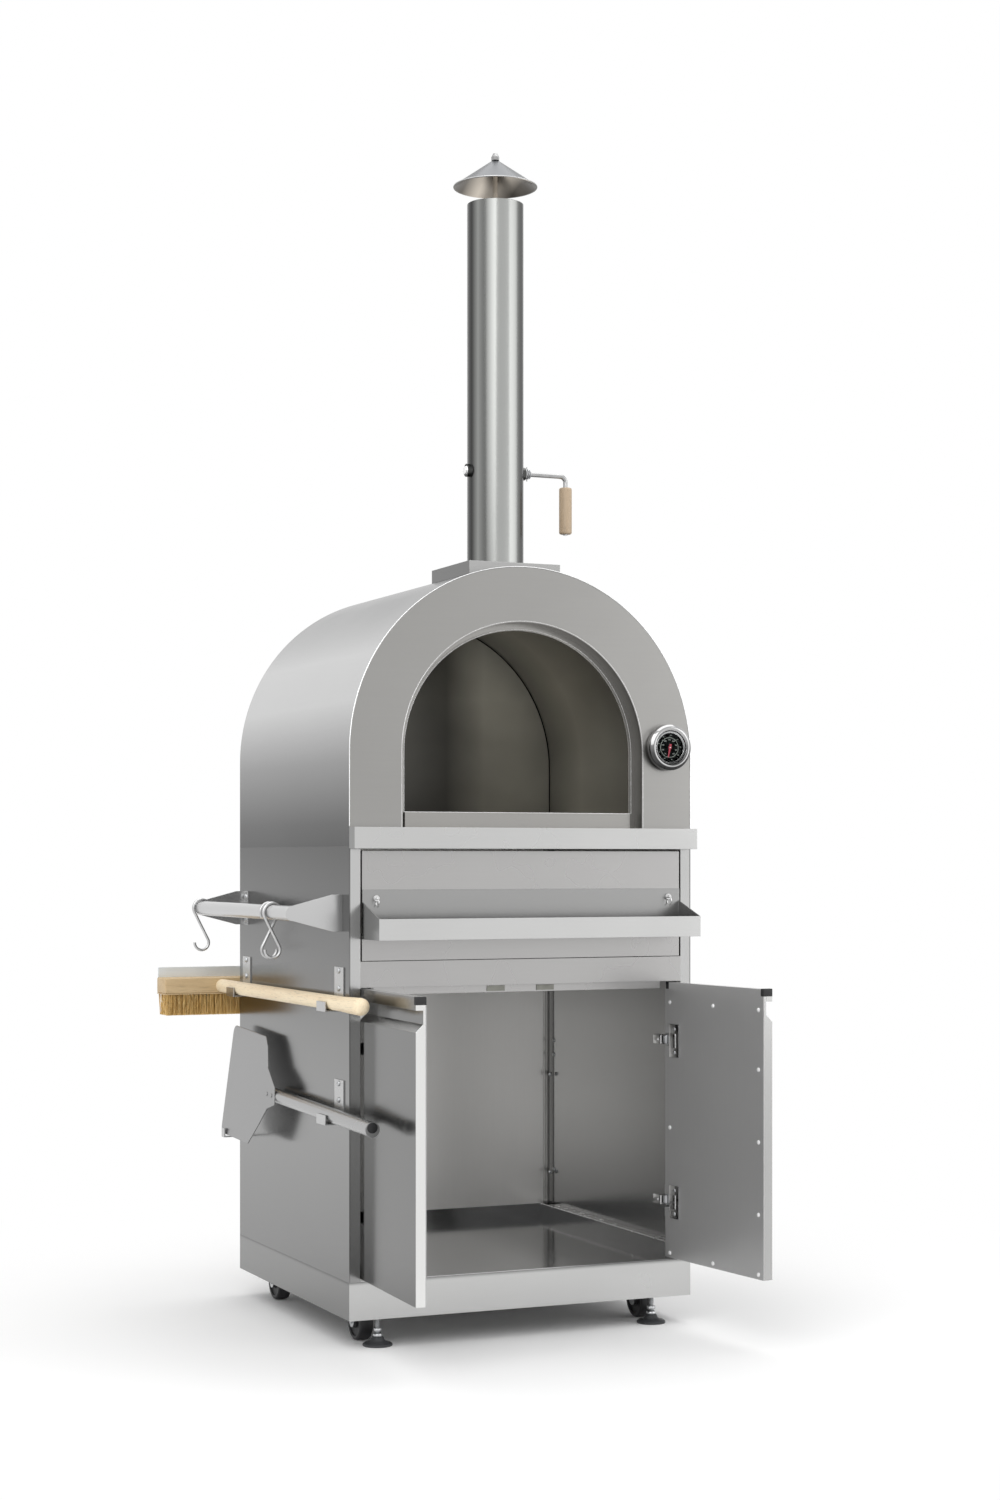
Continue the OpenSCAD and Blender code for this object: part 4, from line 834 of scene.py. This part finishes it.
def bristle_tree():
    """Rows of thin wires below a block, each leaning out a little and at random."""
    tree = bpy.data.node_groups.new("bristle_rows", "GeometryNodeTree")
    face = tree.interface
    face.new_socket("Geometry", in_out="INPUT", socket_type="NodeSocketGeometry")
    for name, kind in (("Width", "Float"), ("Depth", "Float"), ("Columns", "Int"), ("Rows", "Int"),
                       ("Length", "Float"), ("Thickness", "Float"), ("Flare", "Float"), ("Seed", "Int"),
                       ("Finish", "Material")):
        face.new_socket(name, in_out="INPUT", socket_type="NodeSocket" + kind)
    face.new_socket("Geometry", in_out="OUTPUT", socket_type="NodeSocketGeometry")
    start = tree.nodes.new("NodeGroupInput")
    end = tree.nodes.new("NodeGroupOutput")
    grid = tree.nodes.new("GeometryNodeMeshGrid")
    wire = tree.nodes.new("GeometryNodeMeshCone")
    wire.fill_type = "TRIANGLE_FAN"
    wire.inputs["Vertices"].default_value = 4
    wire.inputs["Side Segments"].default_value = 2
    place_node = tree.nodes.new("GeometryNodeInputPosition")
    lean = tree.nodes.new("ShaderNodeVectorMath")
    lean.operation = "MULTIPLY"
    swap = tree.nodes.new("ShaderNodeCombineXYZ")
    split = tree.nodes.new("ShaderNodeSeparateXYZ")
    minus = tree.nodes.new("ShaderNodeMath")
    minus.operation = "MULTIPLY"
    minus.inputs[1].default_value = -1
    stray = tree.nodes.new("FunctionNodeRandomValue")
    stray.data_type = "FLOAT_VECTOR"
    stray.inputs["Min"].default_value = (-0.05, -0.05, 0)
    stray.inputs["Max"].default_value = (0.05, 0.05, 6.2)
    total = tree.nodes.new("ShaderNodeVectorMath")
    total.operation = "ADD"
    jitter = tree.nodes.new("FunctionNodeRandomValue")
    jitter.data_type = "FLOAT_VECTOR"
    jitter.inputs["Min"].default_value = (-0.0006, -0.0006, 0)
    jitter.inputs["Max"].default_value = (0.0006, 0.0006, 0)
    move = tree.nodes.new("GeometryNodeSetPosition")
    setter = tree.nodes.new("GeometryNodeInstanceOnPoints")
    real = tree.nodes.new("GeometryNodeRealizeInstances")
    finish = tree.nodes.new("GeometryNodeSetMaterial")

    def link(source, out, target, into):
        tree.links.new(source.outputs[out], target.inputs[into])

    link(start, "Width", grid, "Size X")
    link(start, "Depth", grid, "Size Y")
    link(start, "Columns", grid, "Vertices X")
    link(start, "Rows", grid, "Vertices Y")
    link(start, "Length", wire, "Depth")
    link(start, "Thickness", wire, "Radius Bottom")
    link(start, "Thickness", wire, "Radius Top")
    link(place_node, "Position", split, "Vector")
    link(split, "Y", swap, "X")
    link(split, "X", minus, 0)
    link(minus, 0, swap, "Y")
    link(swap, "Vector", lean, 0)
    link(start, "Flare", lean, 1)
    link(lean, "Vector", total, 0)
    link(stray, "Value", total, 1)
    link(start, "Seed", stray, "Seed")
    link(start, "Seed", jitter, "Seed")
    link(grid, "Mesh", move, "Geometry")
    link(jitter, "Value", move, "Offset")
    link(move, "Geometry", setter, "Points")
    link(wire, "Mesh", setter, "Instance")
    link(total, "Vector", setter, "Rotation")
    link(setter, "Instances", real, "Geometry")
    link(real, "Geometry", finish, "Geometry")
    link(start, "Finish", finish, "Material")
    link(finish, "Geometry", end, "Geometry")
    return tree


# The thin bed that the wires stand in, and how much shorter and narrower than it their rows are
BED_THICK = 2 * MM
END_MARGIN, SIDE_MARGIN = 10 * MM, 8 * MM


def brush_bristles():
    """The wires and their bed, in place of the solid bristle field."""
    low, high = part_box("brush_bristles")
    tree = bristle_tree()
    carrier = bpy.data.objects.new("bristle_carrier", bpy.data.meshes.new("bristle_carrier"))
    scene.collection.objects.link(carrier)
    modifier = carrier.modifiers.new("rows", "NODES")
    modifier.node_group = tree
    values = {
        "Width": high.x - low.x - END_MARGIN, "Depth": high.y - low.y - SIDE_MARGIN,
        "Length": high.z - low.z - BED_THICK, "Thickness": 0.42 * MM,
        "Columns": 96, "Rows": 22, "Flare": -1.1, "Seed": 7, "Finish": brass,
    }
    for key, value in values.items():
        modifier[socket_id(tree, key)] = value
    mesh = bake(carrier, "brush_wires")
    centre = (low + high) / 2
    mesh.transform(Matrix.Translation((centre.x, centre.y, low.z)))

    def build(shape):
        rounded_box(shape, Vector((low.x, low.y, high.z - BED_THICK)), high.copy(), 0.5 * MM, 1)

    link_mesh("bristle_bed", mesh_from("bristle_bed", build), beech_x, "brush")
    piece = link_mesh("brush_wires", mesh, brass, "brush", smooth=False)
    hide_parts("brush_bristles")


brush_wood()
brush_bristles()


# Thermometer: rounded bezel, dial with ticks and numbers, and the needle's hub

# Where the scale starts, and the turn for 50 degrees Celsius with its five ticks
DIAL_START = 180
DIAL_STEP = 36
TICKS = 51
# The rings of numbers, Celsius inside and Fahrenheit outside: step, height of the figures, radius
NUMBER_RINGS = ((50, 3.1, 13.2), (100, 2.1, 20.8))


def gauge_numbers(middle):
    """The figures of both scales, in one mesh."""
    figures = bmesh.new()
    for step, size, radius in NUMBER_RINGS:
        for value in range(step, 10 * step, step):
            celsius = value if step == 50 else (value - 32) / 1.8
            angle = math.radians(90 - DIAL_START - celsius * DIAL_STEP / 50)
            curve = bpy.data.curves.new("number", "FONT")
            curve.body = str(value)
            curve.size = size * MM
            curve.align_x = "CENTER"
            curve.align_y = "CENTER"
            curve.extrude = 0.05 * MM
            text = bpy.data.objects.new("number", curve)
            scene.collection.objects.link(text)
            depsgraph = bpy.context.evaluated_depsgraph_get()
            mesh = bpy.data.meshes.new_from_object(text.evaluated_get(depsgraph))
            spot = middle + Vector((radius * math.cos(angle), -0.05, radius * math.sin(angle))) * MM
            mesh.transform(Matrix.Translation(spot) @ Matrix.Rotation(math.radians(90), 4, "X"))
            figures.from_mesh(mesh)
            bpy.data.objects.remove(text)
            bpy.data.meshes.remove(mesh)
    numbers = bpy.data.meshes.new("gauge_numbers")
    figures.to_mesh(numbers)
    figures.free()
    link_mesh("gauge_numbers", numbers, dial_white, "oven", smooth=False)


def gauge():
    """The case, and what is printed on the dial."""
    case_lo, case_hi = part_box("thermometer_case")
    dial_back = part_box("thermometer_dial")[1].y
    glass_lo, glass_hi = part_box("thermometer_glass")
    needle_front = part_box("needle")[0].y
    x = (case_lo.x + case_hi.x) / 2
    z = (case_lo.z + case_hi.z) / 2
    outer = (case_hi.x - case_lo.x) / 2 / MM
    inner = (glass_hi.x - glass_lo.x) / 2 / MM + 0.2
    front = Vector((x, case_lo.y, z))
    depth = (FRONT - case_lo.y) / MM

    def bezel(shape):
        pocket = depth - (FRONT - dial_back) / MM - 1
        outline = [
            (inner, pocket), (inner, 6.2), (24.6, 6.0), (24.4, 5.2), (25.2, 4.4), (27.4, 3.8), (28.0, 2.6),
            (29.0, 1.2), (30.8, 0.3), (32.6, 0), (34.6, 0.6), (36.4, 2.0), (outer - 0.4, 4.4), (outer, 7.5),
            (outer, 13), (outer - 1.4, 16), (outer - 3.2, 17.5), (outer - 3.2, depth), (inner, depth),
        ]
        lathe(shape, outline, place(front, (0, 1, 0)), 96)
        probe = [(0, depth - 0.5), (3, depth - 0.5), (3, depth + 58), (2, depth + 60), (0, depth + 60)]
        lathe(shape, probe, place(front, (0, 1, 0)), 24)

    piece = link_mesh("gauge_bezel", mesh_from("gauge_bezel", bezel), steel_bezel, "oven")
    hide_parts("thermometer_case")

    middle = Vector((x, dial_back - 1.05 * MM, z))

    def tick(shape):
        rounded_box(shape, Vector((-0.16, 16.9, -0.1)) * MM, Vector((0.16, 18.1, 0.1)) * MM, 0.05 * MM, 1)

    turns = [math.radians(-DIAL_STEP * i / 5 - DIAL_START) for i in range(TICKS)]
    ticks = [(middle, (0, -1, 0), turn) for turn in turns]
    scatter("gauge_ticks", mesh_from("tick", tick), ticks, dial_white, "oven")
    gauge_numbers(middle)

    def ring(shape):
        lathe(shape, [(16.5, 0), (16.5, -0.12), (16.9, -0.12), (16.9, 0)], place(middle, (0, 1, 0)), 72)

    link_mesh("gauge_ring", mesh_from("gauge_ring", ring), dial_white, "oven")

    def hub(shape):
        outline = [(0, 0.5), (0.9, 0.4), (1.3, 0), (1.3, -0.6), (0, -0.6)]
        lathe(shape, outline, place(Vector((x, needle_front - 0.2 * MM, z)), (0, -1, 0)), 20)

    link_mesh("gauge_hub", mesh_from("gauge_hub", hub), steel_mirror, "oven")


gauge()


# Doors: rivet heads, hinge plates and the black ends of the handle channels

PIVOT_X, PIVOT_Y = 279.5, -280.0
DOOR_OPEN = {"left": 93.0, "right": 96.0}
DOOR_IN, DOOR_OUT = 1.5, 287.5
DOOR_FACE, DOOR_BACK = -288.0, -271.0
RIVET_ROWS = (122.0, 218.5, 335.5, 452.5, 549.0)
HINGE_ROWS = (210.0, 484.0)


def on_door(side, x, y, z=0.0, direction=False):
    """Carries a point or direction of the closed right-hand door to where the door stands open."""
    turn = math.radians(DOOR_OPEN[side])
    dx, dy = (x, y) if direction else (x - PIVOT_X, y - PIVOT_Y)
    px = dx * math.cos(turn) - dy * math.sin(turn)
    py = dx * math.sin(turn) + dy * math.cos(turn)
    sign = 1 if side == "right" else -1
    if direction:
        return Vector((sign * px, py, z))
    return at(sign * (px + PIVOT_X), py + PIVOT_Y, z)


def door_box(shape, side, low, high, radius):
    """A rounded box in the closed door's place, carried to where the door stands."""
    part = bmesh.new()
    rounded_box(part, Vector(low) * MM, Vector(high) * MM, radius * MM, 2)
    for vert in part.verts:
        vert.co = on_door(side, vert.co.x / MM, vert.co.y / MM, vert.co.z / MM)
    if side == "left":
        bmesh.ops.reverse_faces(part, faces=part.faces)
    spare = bpy.data.meshes.new("part")
    part.to_mesh(spare)
    part.free()
    shape.from_mesh(spare)
    bpy.data.meshes.remove(spare)


def rivet_mesh():
    """A low domed rivet head, its seat at z = 0."""

    def build(shape):
        outline = [(0, 1.5), (1.6, 1.35), (2.8, 0.9), (3.7, 0.1), (3.7, -0.9), (0, -0.9)]
        lathe(shape, outline, Matrix.Identity(4), 20)

    return mesh_from("rivet", build)


def door_fittings(side):
    """Rivets, hinge screws, hinge plates and black end caps of one door."""
    body = side + "_door"
    inward = on_door(side, 0, 1, 0, True)
    edge, hinge_edge = DOOR_IN + 14, DOOR_OUT - 14
    spots = [(edge, z) for z in RIVET_ROWS]
    spots += [((DOOR_IN + DOOR_OUT) / 2, z) for z in (RIVET_ROWS[0], RIVET_ROWS[4])]
    spots += [(hinge_edge, z) for z in (RIVET_ROWS[0], RIVET_ROWS[2], RIVET_ROWS[4])]
    places = [(on_door(side, x, DOOR_BACK + 0.6, z), inward, 0.0) for x, z in spots]
    scatter(body + "_rivets", rivet_mesh(), places, rivet_white, body)
    screws = [(on_door(side, DOOR_OUT - 30, DOOR_BACK + 1.7, z + up), inward, 0.5 + up) for z in HINGE_ROWS
              for up in (-20, 20)]
    scatter(body + "_hinge_screws", screw_head_mesh(3.6, 1.6), screws, steel_zinc, body)

    def plates(shape):
        for z in HINGE_ROWS:
            low, high = (DOOR_OUT - 44, DOOR_BACK + 0.7, z - 28), (DOOR_OUT - 15, DOOR_BACK + 1.8, z + 28)
            door_box(shape, side, low, high, 0.4)
            low, high = (DOOR_OUT - 34, DOOR_BACK + 1.6, z - 12), (DOOR_OUT - 17, DOOR_BACK + 3.0, z + 12)
            door_box(shape, side, low, high, 0.7)

    link_mesh(body + "_hinge_plates", mesh_from(body + "_plates", plates), steel_mirror, body)

    def ends(shape):
        for low_x, high_x in ((DOOR_IN - 0.5, DOOR_IN + 8), (DOOR_OUT - 11, DOOR_OUT - 1.5)):
            door_box(shape, side, (low_x, DOOR_FACE - 0.5, 571), (high_x, DOOR_BACK + 0.4, 583.6), 1.0)

    link_mesh(body + "_end_caps", mesh_from(body + "_ends", ends), black, body)


for door_side in ("left", "right"):
    door_fittings(door_side)


# A hinge's adjusting arm and the pad on it: span in x, span in y, half its height, edge radius and steps
HINGE_ARM = ((264.0, 277.6), (-266, -238), 8, 1.2, 2)
HINGE_PAD = ((262.6, 264.4), (-258, -244), 2.4, 0.6, 1)


def hinge_links():
    """The stubby adjusting arms that stand behind each door's hinge edge."""

    def build(shape):
        for sign in (-1, 1):
            for z in HINGE_ROWS:
                for across, along, half, radius, steps in (HINGE_ARM, HINGE_PAD):
                    near, far = sorted(sign * x for x in across)
                    low, high = at(near, along[0], z - half), at(far, along[1], z + half)
                    rounded_box(shape, low, high, radius * MM, steps)

    link_mesh("hinge_links", mesh_from("hinge_links", build), steel_mirror, "oven")


# Bolts at the back: on the posts' faces, and beside them on the side panels
POST_BOLT_X = 302
POST_BOLT_ROWS = (195, 382)
SIDE_BOLT_X, SIDE_BOLT_Y = 308.4, 262
SIDE_BOLT_ROWS = (200, 420, 447)


def post_bolts():
    """Bolts on the rear posts and beside them on the side panels."""
    post_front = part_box("corner_posts")[0].y
    places = []
    for sign in (-1, 1):
        for z in POST_BOLT_ROWS:
            spot = at(sign * POST_BOLT_X, 0, z)
            spot.y = post_front
            places.append((spot, (0, -1, 0), 0.3))
        for z in SIDE_BOLT_ROWS:
            places.append((at(sign * SIDE_BOLT_X, SIDE_BOLT_Y, z), (-sign, 0, 0), 0.8))
    scatter("post_bolts", screw_head_mesh(3.8, 2.2), places, steel_zinc, "oven")


# The tray's flange: where it starts and ends in y, and how far out it reaches
TRAY_FRONT, TRAY_BACK, TRAY_RIM = -250, 258, 308.2


def tray_edge():
    """The rolled top of the floor tray's upstands, and the flange from each to the side panel, in near-white
    steel as a painted highlight.
    """
    low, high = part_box("floor_panel")
    top = high.z
    rolled_end = high.y - 1.0 * MM
    front, back = at(0, TRAY_FRONT, 0).y, at(0, TRAY_BACK, 0).y

    def build(shape):
        for x, rim in ((low.x + 0.9 * MM, at(-TRAY_RIM, 0, 0).x), (high.x - 0.9 * MM, at(TRAY_RIM, 0, 0).x)):
            start = Vector((x - 1.0 * MM, front, top - 1.6 * MM))
            end = Vector((x + 1.0 * MM, rolled_end, top + 0.5 * MM))
            rounded_box(shape, start, end, 0.4 * MM, 1)
            inner, outer = sorted((x, rim))
            start = Vector((inner, front, top - 1.0 * MM))
            end = Vector((outer, back, top + 0.1 * MM))
            rounded_box(shape, start, end, 0.3 * MM, 1)

    link_mesh("tray_edge", mesh_from("tray_edge", build), steel_edge, "oven")


hinge_links()
post_bolts()
tray_edge()


# Peel: black cap on the handle's end


def peel_end():
    """A cap pressed over the handle's front end, sized from the end's own ring of corners."""
    corners = [v.co.copy() for v in frame["nodes"]["peel_handle"].data.vertices]
    front_y = min(c.y for c in corners)
    ring = [c for c in corners if c.y < front_y + 0.5 * MM]
    axis = Vector([(min(c[i] for c in ring) + max(c[i] for c in ring)) / 2 for i in range(3)])
    radius = (max(c.z for c in ring) - min(c.z for c in ring)) / 2 / MM

    def build(shape):
        outline = [(0, -1.2), (radius - 2, -1.0), (radius, 0), (radius + 0.5, 1.5), (radius + 0.5, 12)]
        outline += [(radius - 0.4, 12), (radius - 0.4, 2), (0, 2)]
        lathe(shape, outline, place(axis, (0, 1, 0)), 40)

    link_mesh("peel_end_cap", mesh_from("peel_end_cap", build), black, "peel")


peel_end()


# Damper: dome nut and washers outside the pipe

DAMPER_Y, DAMPER_Z = -165, 1452


def damper_nuts():
    """A dome nut on the rod's left end, and three washers beside the pipe on its right."""
    rod_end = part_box("damper_rod")[0].x
    pipe_r = (flue_hi.x - flue_lo.x) / 2 / MM
    axis = at(0, DAMPER_Y, DAMPER_Z)

    def left(shape):
        outline = [(4.2, 0), (9.5, 0), (9.5, 1.6), (7.5, 1.9), (7.5, 6), (6.6, 8), (4.4, 9.6), (0, 10.2)]
        start = Vector((rod_end + 8.5 * MM, axis.y, axis.z))
        lathe(shape, outline, place(start, (-1, 0, 0)), 32)

    def right(shape):
        for offset, radius, thick in ((0.2, 10.0, 1.6), (4.4, 9.0, 1.6), (8.4, 8.0, 1.4)):
            start = Vector((axis.x + (pipe_r + offset) * MM, axis.y, axis.z))
            outline = [(4.2, 0), (radius - 0.3, 0), (radius, 0.3), (radius, thick - 0.3)]
            outline += [(radius - 0.3, thick), (4.2, thick), (4.2, 0)]
            lathe(shape, outline, place(start, (1, 0, 0)), 32)

    link_mesh("damper_dome_nut", mesh_from("damper_dome_nut", left), steel_edge, "damper")
    link_mesh("damper_washers", mesh_from("damper_washers", right), steel_zinc, "damper")


damper_nuts()


# Oven face: near-white beads along folded edges as painted highlights, and a near-black line of painted shade
# in the crease round the cavity's back wall

# Heights of the arches' centres, and where the highlight beads and the line of painted shade start, just
# above the ledge and the stones
ARCH_Z, CAVITY_Z = 968, 962
BEAD_FOOT, SHADE_LINE_FOOT = 845, 869
FACE_Y, BACK_WALL_Y = -288, 198.2
SILL_TOP, SILL_HALF = 870, 206.5


def arch_edge(name, radius, centre_z, low_z, y, reach, material):
    """A thin bead along an arch, from one foot over the crown to the other."""
    turns = [math.pi * i / 60 for i in range(61)]
    path = [(-radius, low_z)]
    path += [(-radius * math.cos(turn), centre_z + radius * math.sin(turn)) for turn in turns]
    path.append((radius, low_z))
    curve = bpy.data.curves.new(name, "CURVE")
    curve.dimensions = "3D"
    curve.bevel_depth = reach * MM
    curve.bevel_resolution = 2
    spline = curve.splines.new("POLY")
    spline.points.add(len(path) - 1)
    for point, (x, z) in zip(spline.points, path):
        point.co = (*at(x, y, z), 1)
    carrier = bpy.data.objects.new(name, curve)
    scene.collection.objects.link(carrier)
    mesh = bake(carrier, name)
    link_mesh(name, mesh, material, "oven")


# Painted highlights: near-white beads along the edges of the face's arch and of the mouth
arch_edge("arch_edge_bead", 309.6, ARCH_Z, BEAD_FOOT, FACE_Y, 0.7, steel_edge)
arch_edge("mouth_edge_bead", 219.3, ARCH_Z, BEAD_FOOT, FACE_Y, 0.35, steel_edge)
# Painted shade: a near-black line laid in the crease where the vault meets the back wall
arch_edge("cavity_seam", 269.6, CAVITY_Z, SHADE_LINE_FOOT, BACK_WALL_Y, 1.3, crease_shade_line)


def sill_edge():
    """A near-white line along the sill's top and a bead round the door seat: painted highlights on the folds.
    """
    seat_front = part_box("door_seat_frame")[0].y

    def build(shape):
        start, end = at(-SILL_HALF, 0, SILL_TOP - 0.8), at(SILL_HALF, 0, SILL_TOP + 0.2)
        start.y, end.y = seat_front - 0.2 * MM, seat_front + 0.8 * MM
        rounded_box(shape, start, end, 0.2 * MM, 1)

    link_mesh("sill_edge", mesh_from("sill_edge", build), steel_edge, "oven")
    arch_edge("seat_edge_bead", 207.2, ARCH_Z, SILL_TOP, (seat_front - MID_Y) / MM, 0.35, steel_edge)


sill_edge()


def cap_rim():
    """The rolled rim of the rain cap."""
    low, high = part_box("rain_cap")
    middle = Vector(((low.x + high.x) / 2, (low.y + high.y) / 2, low.z))
    rim = (high.x - low.x) / 2 / MM

    def build(shape):
        turns = [math.pi * i / 4 for i in range(8)]
        outline = [(rim - 0.5 + 0.9 * math.cos(a), 0.9 + 0.9 * math.sin(a)) for a in turns]
        lathe(shape, outline + outline[:1], place(middle, (0, 0, 1)), 72)

    link_mesh("cap_rim", mesh_from("cap_rim", build), steel_wire, "oven")


cap_rim()


# Feet: ball, hex nut and a bell-shaped pad

THREAD_PITCH = 1.25


def foot(name):
    """A bell-shaped pad, and the threaded stem that stands in it on a ball."""
    low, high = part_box(name)
    middle = Vector(((low.x + high.x) / 2, (low.y + high.y) / 2, low.z))
    top = (high.z - low.z) / MM

    def pad(shape):
        outline = [(0, 0), (24.0, 0), (24.5, 1.2), (24.2, 3.4), (21.5, 5.2), (15, 6.6), (11.5, 9.4)]
        outline += [(10.2, 13), (8.4, 15), (0, 15)]
        lathe(shape, outline, place(middle, (0, 0, 1)), 48)

    def stem(shape):
        ball = [(0, 13)] + [(8.2 * math.sin(a), 17 - 6 * math.cos(a)) for a in (0.5, 0.9, 1.3, 1.7, 2.1, 2.5)]
        thread = []
        height = 22.0
        while height + THREAD_PITCH < top:
            thread += [(3.5, height), (4.0, height + 0.6)]
            height += THREAD_PITCH
        tip = [(3.5, top - 0.6), (3.0, top), (0, top)]
        lathe(shape, ball + thread + tip, place(middle, (0, 0, 1)), 32)
        nut_place = Matrix.Translation(middle + Vector((0, 0, 26 * MM)))
        nut = bmesh.ops.create_cone(shape, cap_ends=True, segments=6, radius1=7.5 * MM, radius2=7.5 * MM,
                                    depth=5.5 * MM, matrix=nut_place)
        edges = list({e for v in nut["verts"] for e in v.link_edges})
        bmesh.ops.bevel(shape, geom=edges, offset=0.5 * MM, segments=1, affect="EDGES")

    base = link_mesh(name + "_pad", mesh_from(name + "_pad", pad), pad_grey, name)
    link_mesh(name + "_stem", mesh_from(name + "_stem", stem), steel_zinc, name)
    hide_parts(name)


for foot_name in ("foot_left", "foot_right"):
    foot(foot_name)


# Floor, backdrop and light


# Half the ground's width, and the distances at which its shadows start to fade and are gone, in metres
GROUND_REACH = 30
FADE_FROM, FADE_TO = 0.55, 1.5


def seen_rays(tree):
    """One for camera, glossy and transmission rays, zero for the rest."""
    path = node(tree, "ShaderNodeLightPath")
    result = path.outputs["Is Camera Ray"]
    for name in ("Is Glossy Ray", "Is Transmission Ray"):
        larger = node(tree, "ShaderNodeMath", operation="MAXIMUM")
        tree.links.new(result, larger.inputs[0])
        tree.links.new(path.outputs[name], larger.inputs[1])
        result = larger.outputs[0]
    return result


def stage():
    """A white ground that keeps the shadow near the oven and runs out to plain white."""
    ground = bpy.data.meshes.new("ground")
    corners = [(x * GROUND_REACH, y * GROUND_REACH, 0) for x, y in ((-1, -1), (1, -1), (1, 1), (-1, 1))]
    ground.from_pydata(corners, [], [(0, 1, 2, 3)])
    floor = bpy.data.objects.new("ground", ground)
    scene.collection.objects.link(floor)
    material, tree, shader = new_material("floor_white")
    shader.inputs["Base Color"].default_value = (0.97, 0.97, 0.97, 1)
    shader.inputs["Roughness"].default_value = 0.9
    shader.inputs["Specular IOR Level"].default_value = 0.1
    coords = node(tree, "ShaderNodeTexCoord")
    away = node(tree, "ShaderNodeVectorMath", operation="LENGTH")
    fade = node(tree, "ShaderNodeMapRange", {"From Min": FADE_FROM, "From Max": FADE_TO},
                interpolation_type="SMOOTHSTEP")
    tree.links.new(coords.outputs["Object"], away.inputs[0])
    tree.links.new(away.outputs["Value"], fade.inputs["Value"])
    shown = node(tree, "ShaderNodeMath", operation="MULTIPLY")
    tree.links.new(fade.outputs["Result"], shown.inputs[0])
    tree.links.new(seen_rays(tree), shown.inputs[1])
    white = node(tree, "ShaderNodeEmission", {"Color": (1, 1, 1, 1), "Strength": 1.0})
    mix = node(tree, "ShaderNodeMixShader")
    tree.links.new(shown.outputs[0], mix.inputs["Fac"])
    tree.links.new(shader.outputs["BSDF"], mix.inputs[1])
    tree.links.new(white.outputs["Emission"], mix.inputs[2])
    tree.links.new(mix.outputs["Shader"], tree.nodes["Material Output"].inputs["Surface"])
    ground.materials.append(material)


def world():
    """A white room that lights the oven less than it shows in its reflections."""
    made = bpy.data.worlds.new("studio")
    made.use_nodes = True
    scene.world = made
    tree = made.node_tree
    background = tree.nodes["Background"]
    background.inputs["Color"].default_value = (1, 1, 1, 1)
    level = node(tree, "ShaderNodeMapRange", {"To Min": 0.62, "To Max": 1.0})
    tree.links.new(seen_rays(tree), level.inputs["Value"])
    tree.links.new(level.outputs["Result"], background.inputs["Strength"])


def lamp(name, place_at, aim, size, watts):
    """A flat area light at a place, turned to a point."""
    data = bpy.data.lights.new(name, "AREA")
    data.shape = "RECTANGLE"
    data.size, data.size_y = size
    data.energy = watts
    made = bpy.data.objects.new(name, data)
    made.location = place_at
    made.rotation_euler = (Vector(aim) - Vector(place_at)).to_track_quat("-Z", "Y").to_euler()
    scene.collection.objects.link(made)


def lights():
    """Three large soft lights: high on the left, overhead, and low on the right."""
    lamp("key", (-2.6, -3.0, 3.4), (0, 0, 0.9), (3.6, 3.6), 90)
    lamp("top", (0.4, 0.2, 4.6), (0, 0, 0), (4.0, 4.0), 80)
    lamp("fill", (3.4, -2.4, 1.8), (0, 0, 0.9), (3.0, 3.0), 40)


stage()
world()
lights()
scene.view_settings.view_transform = "Standard"
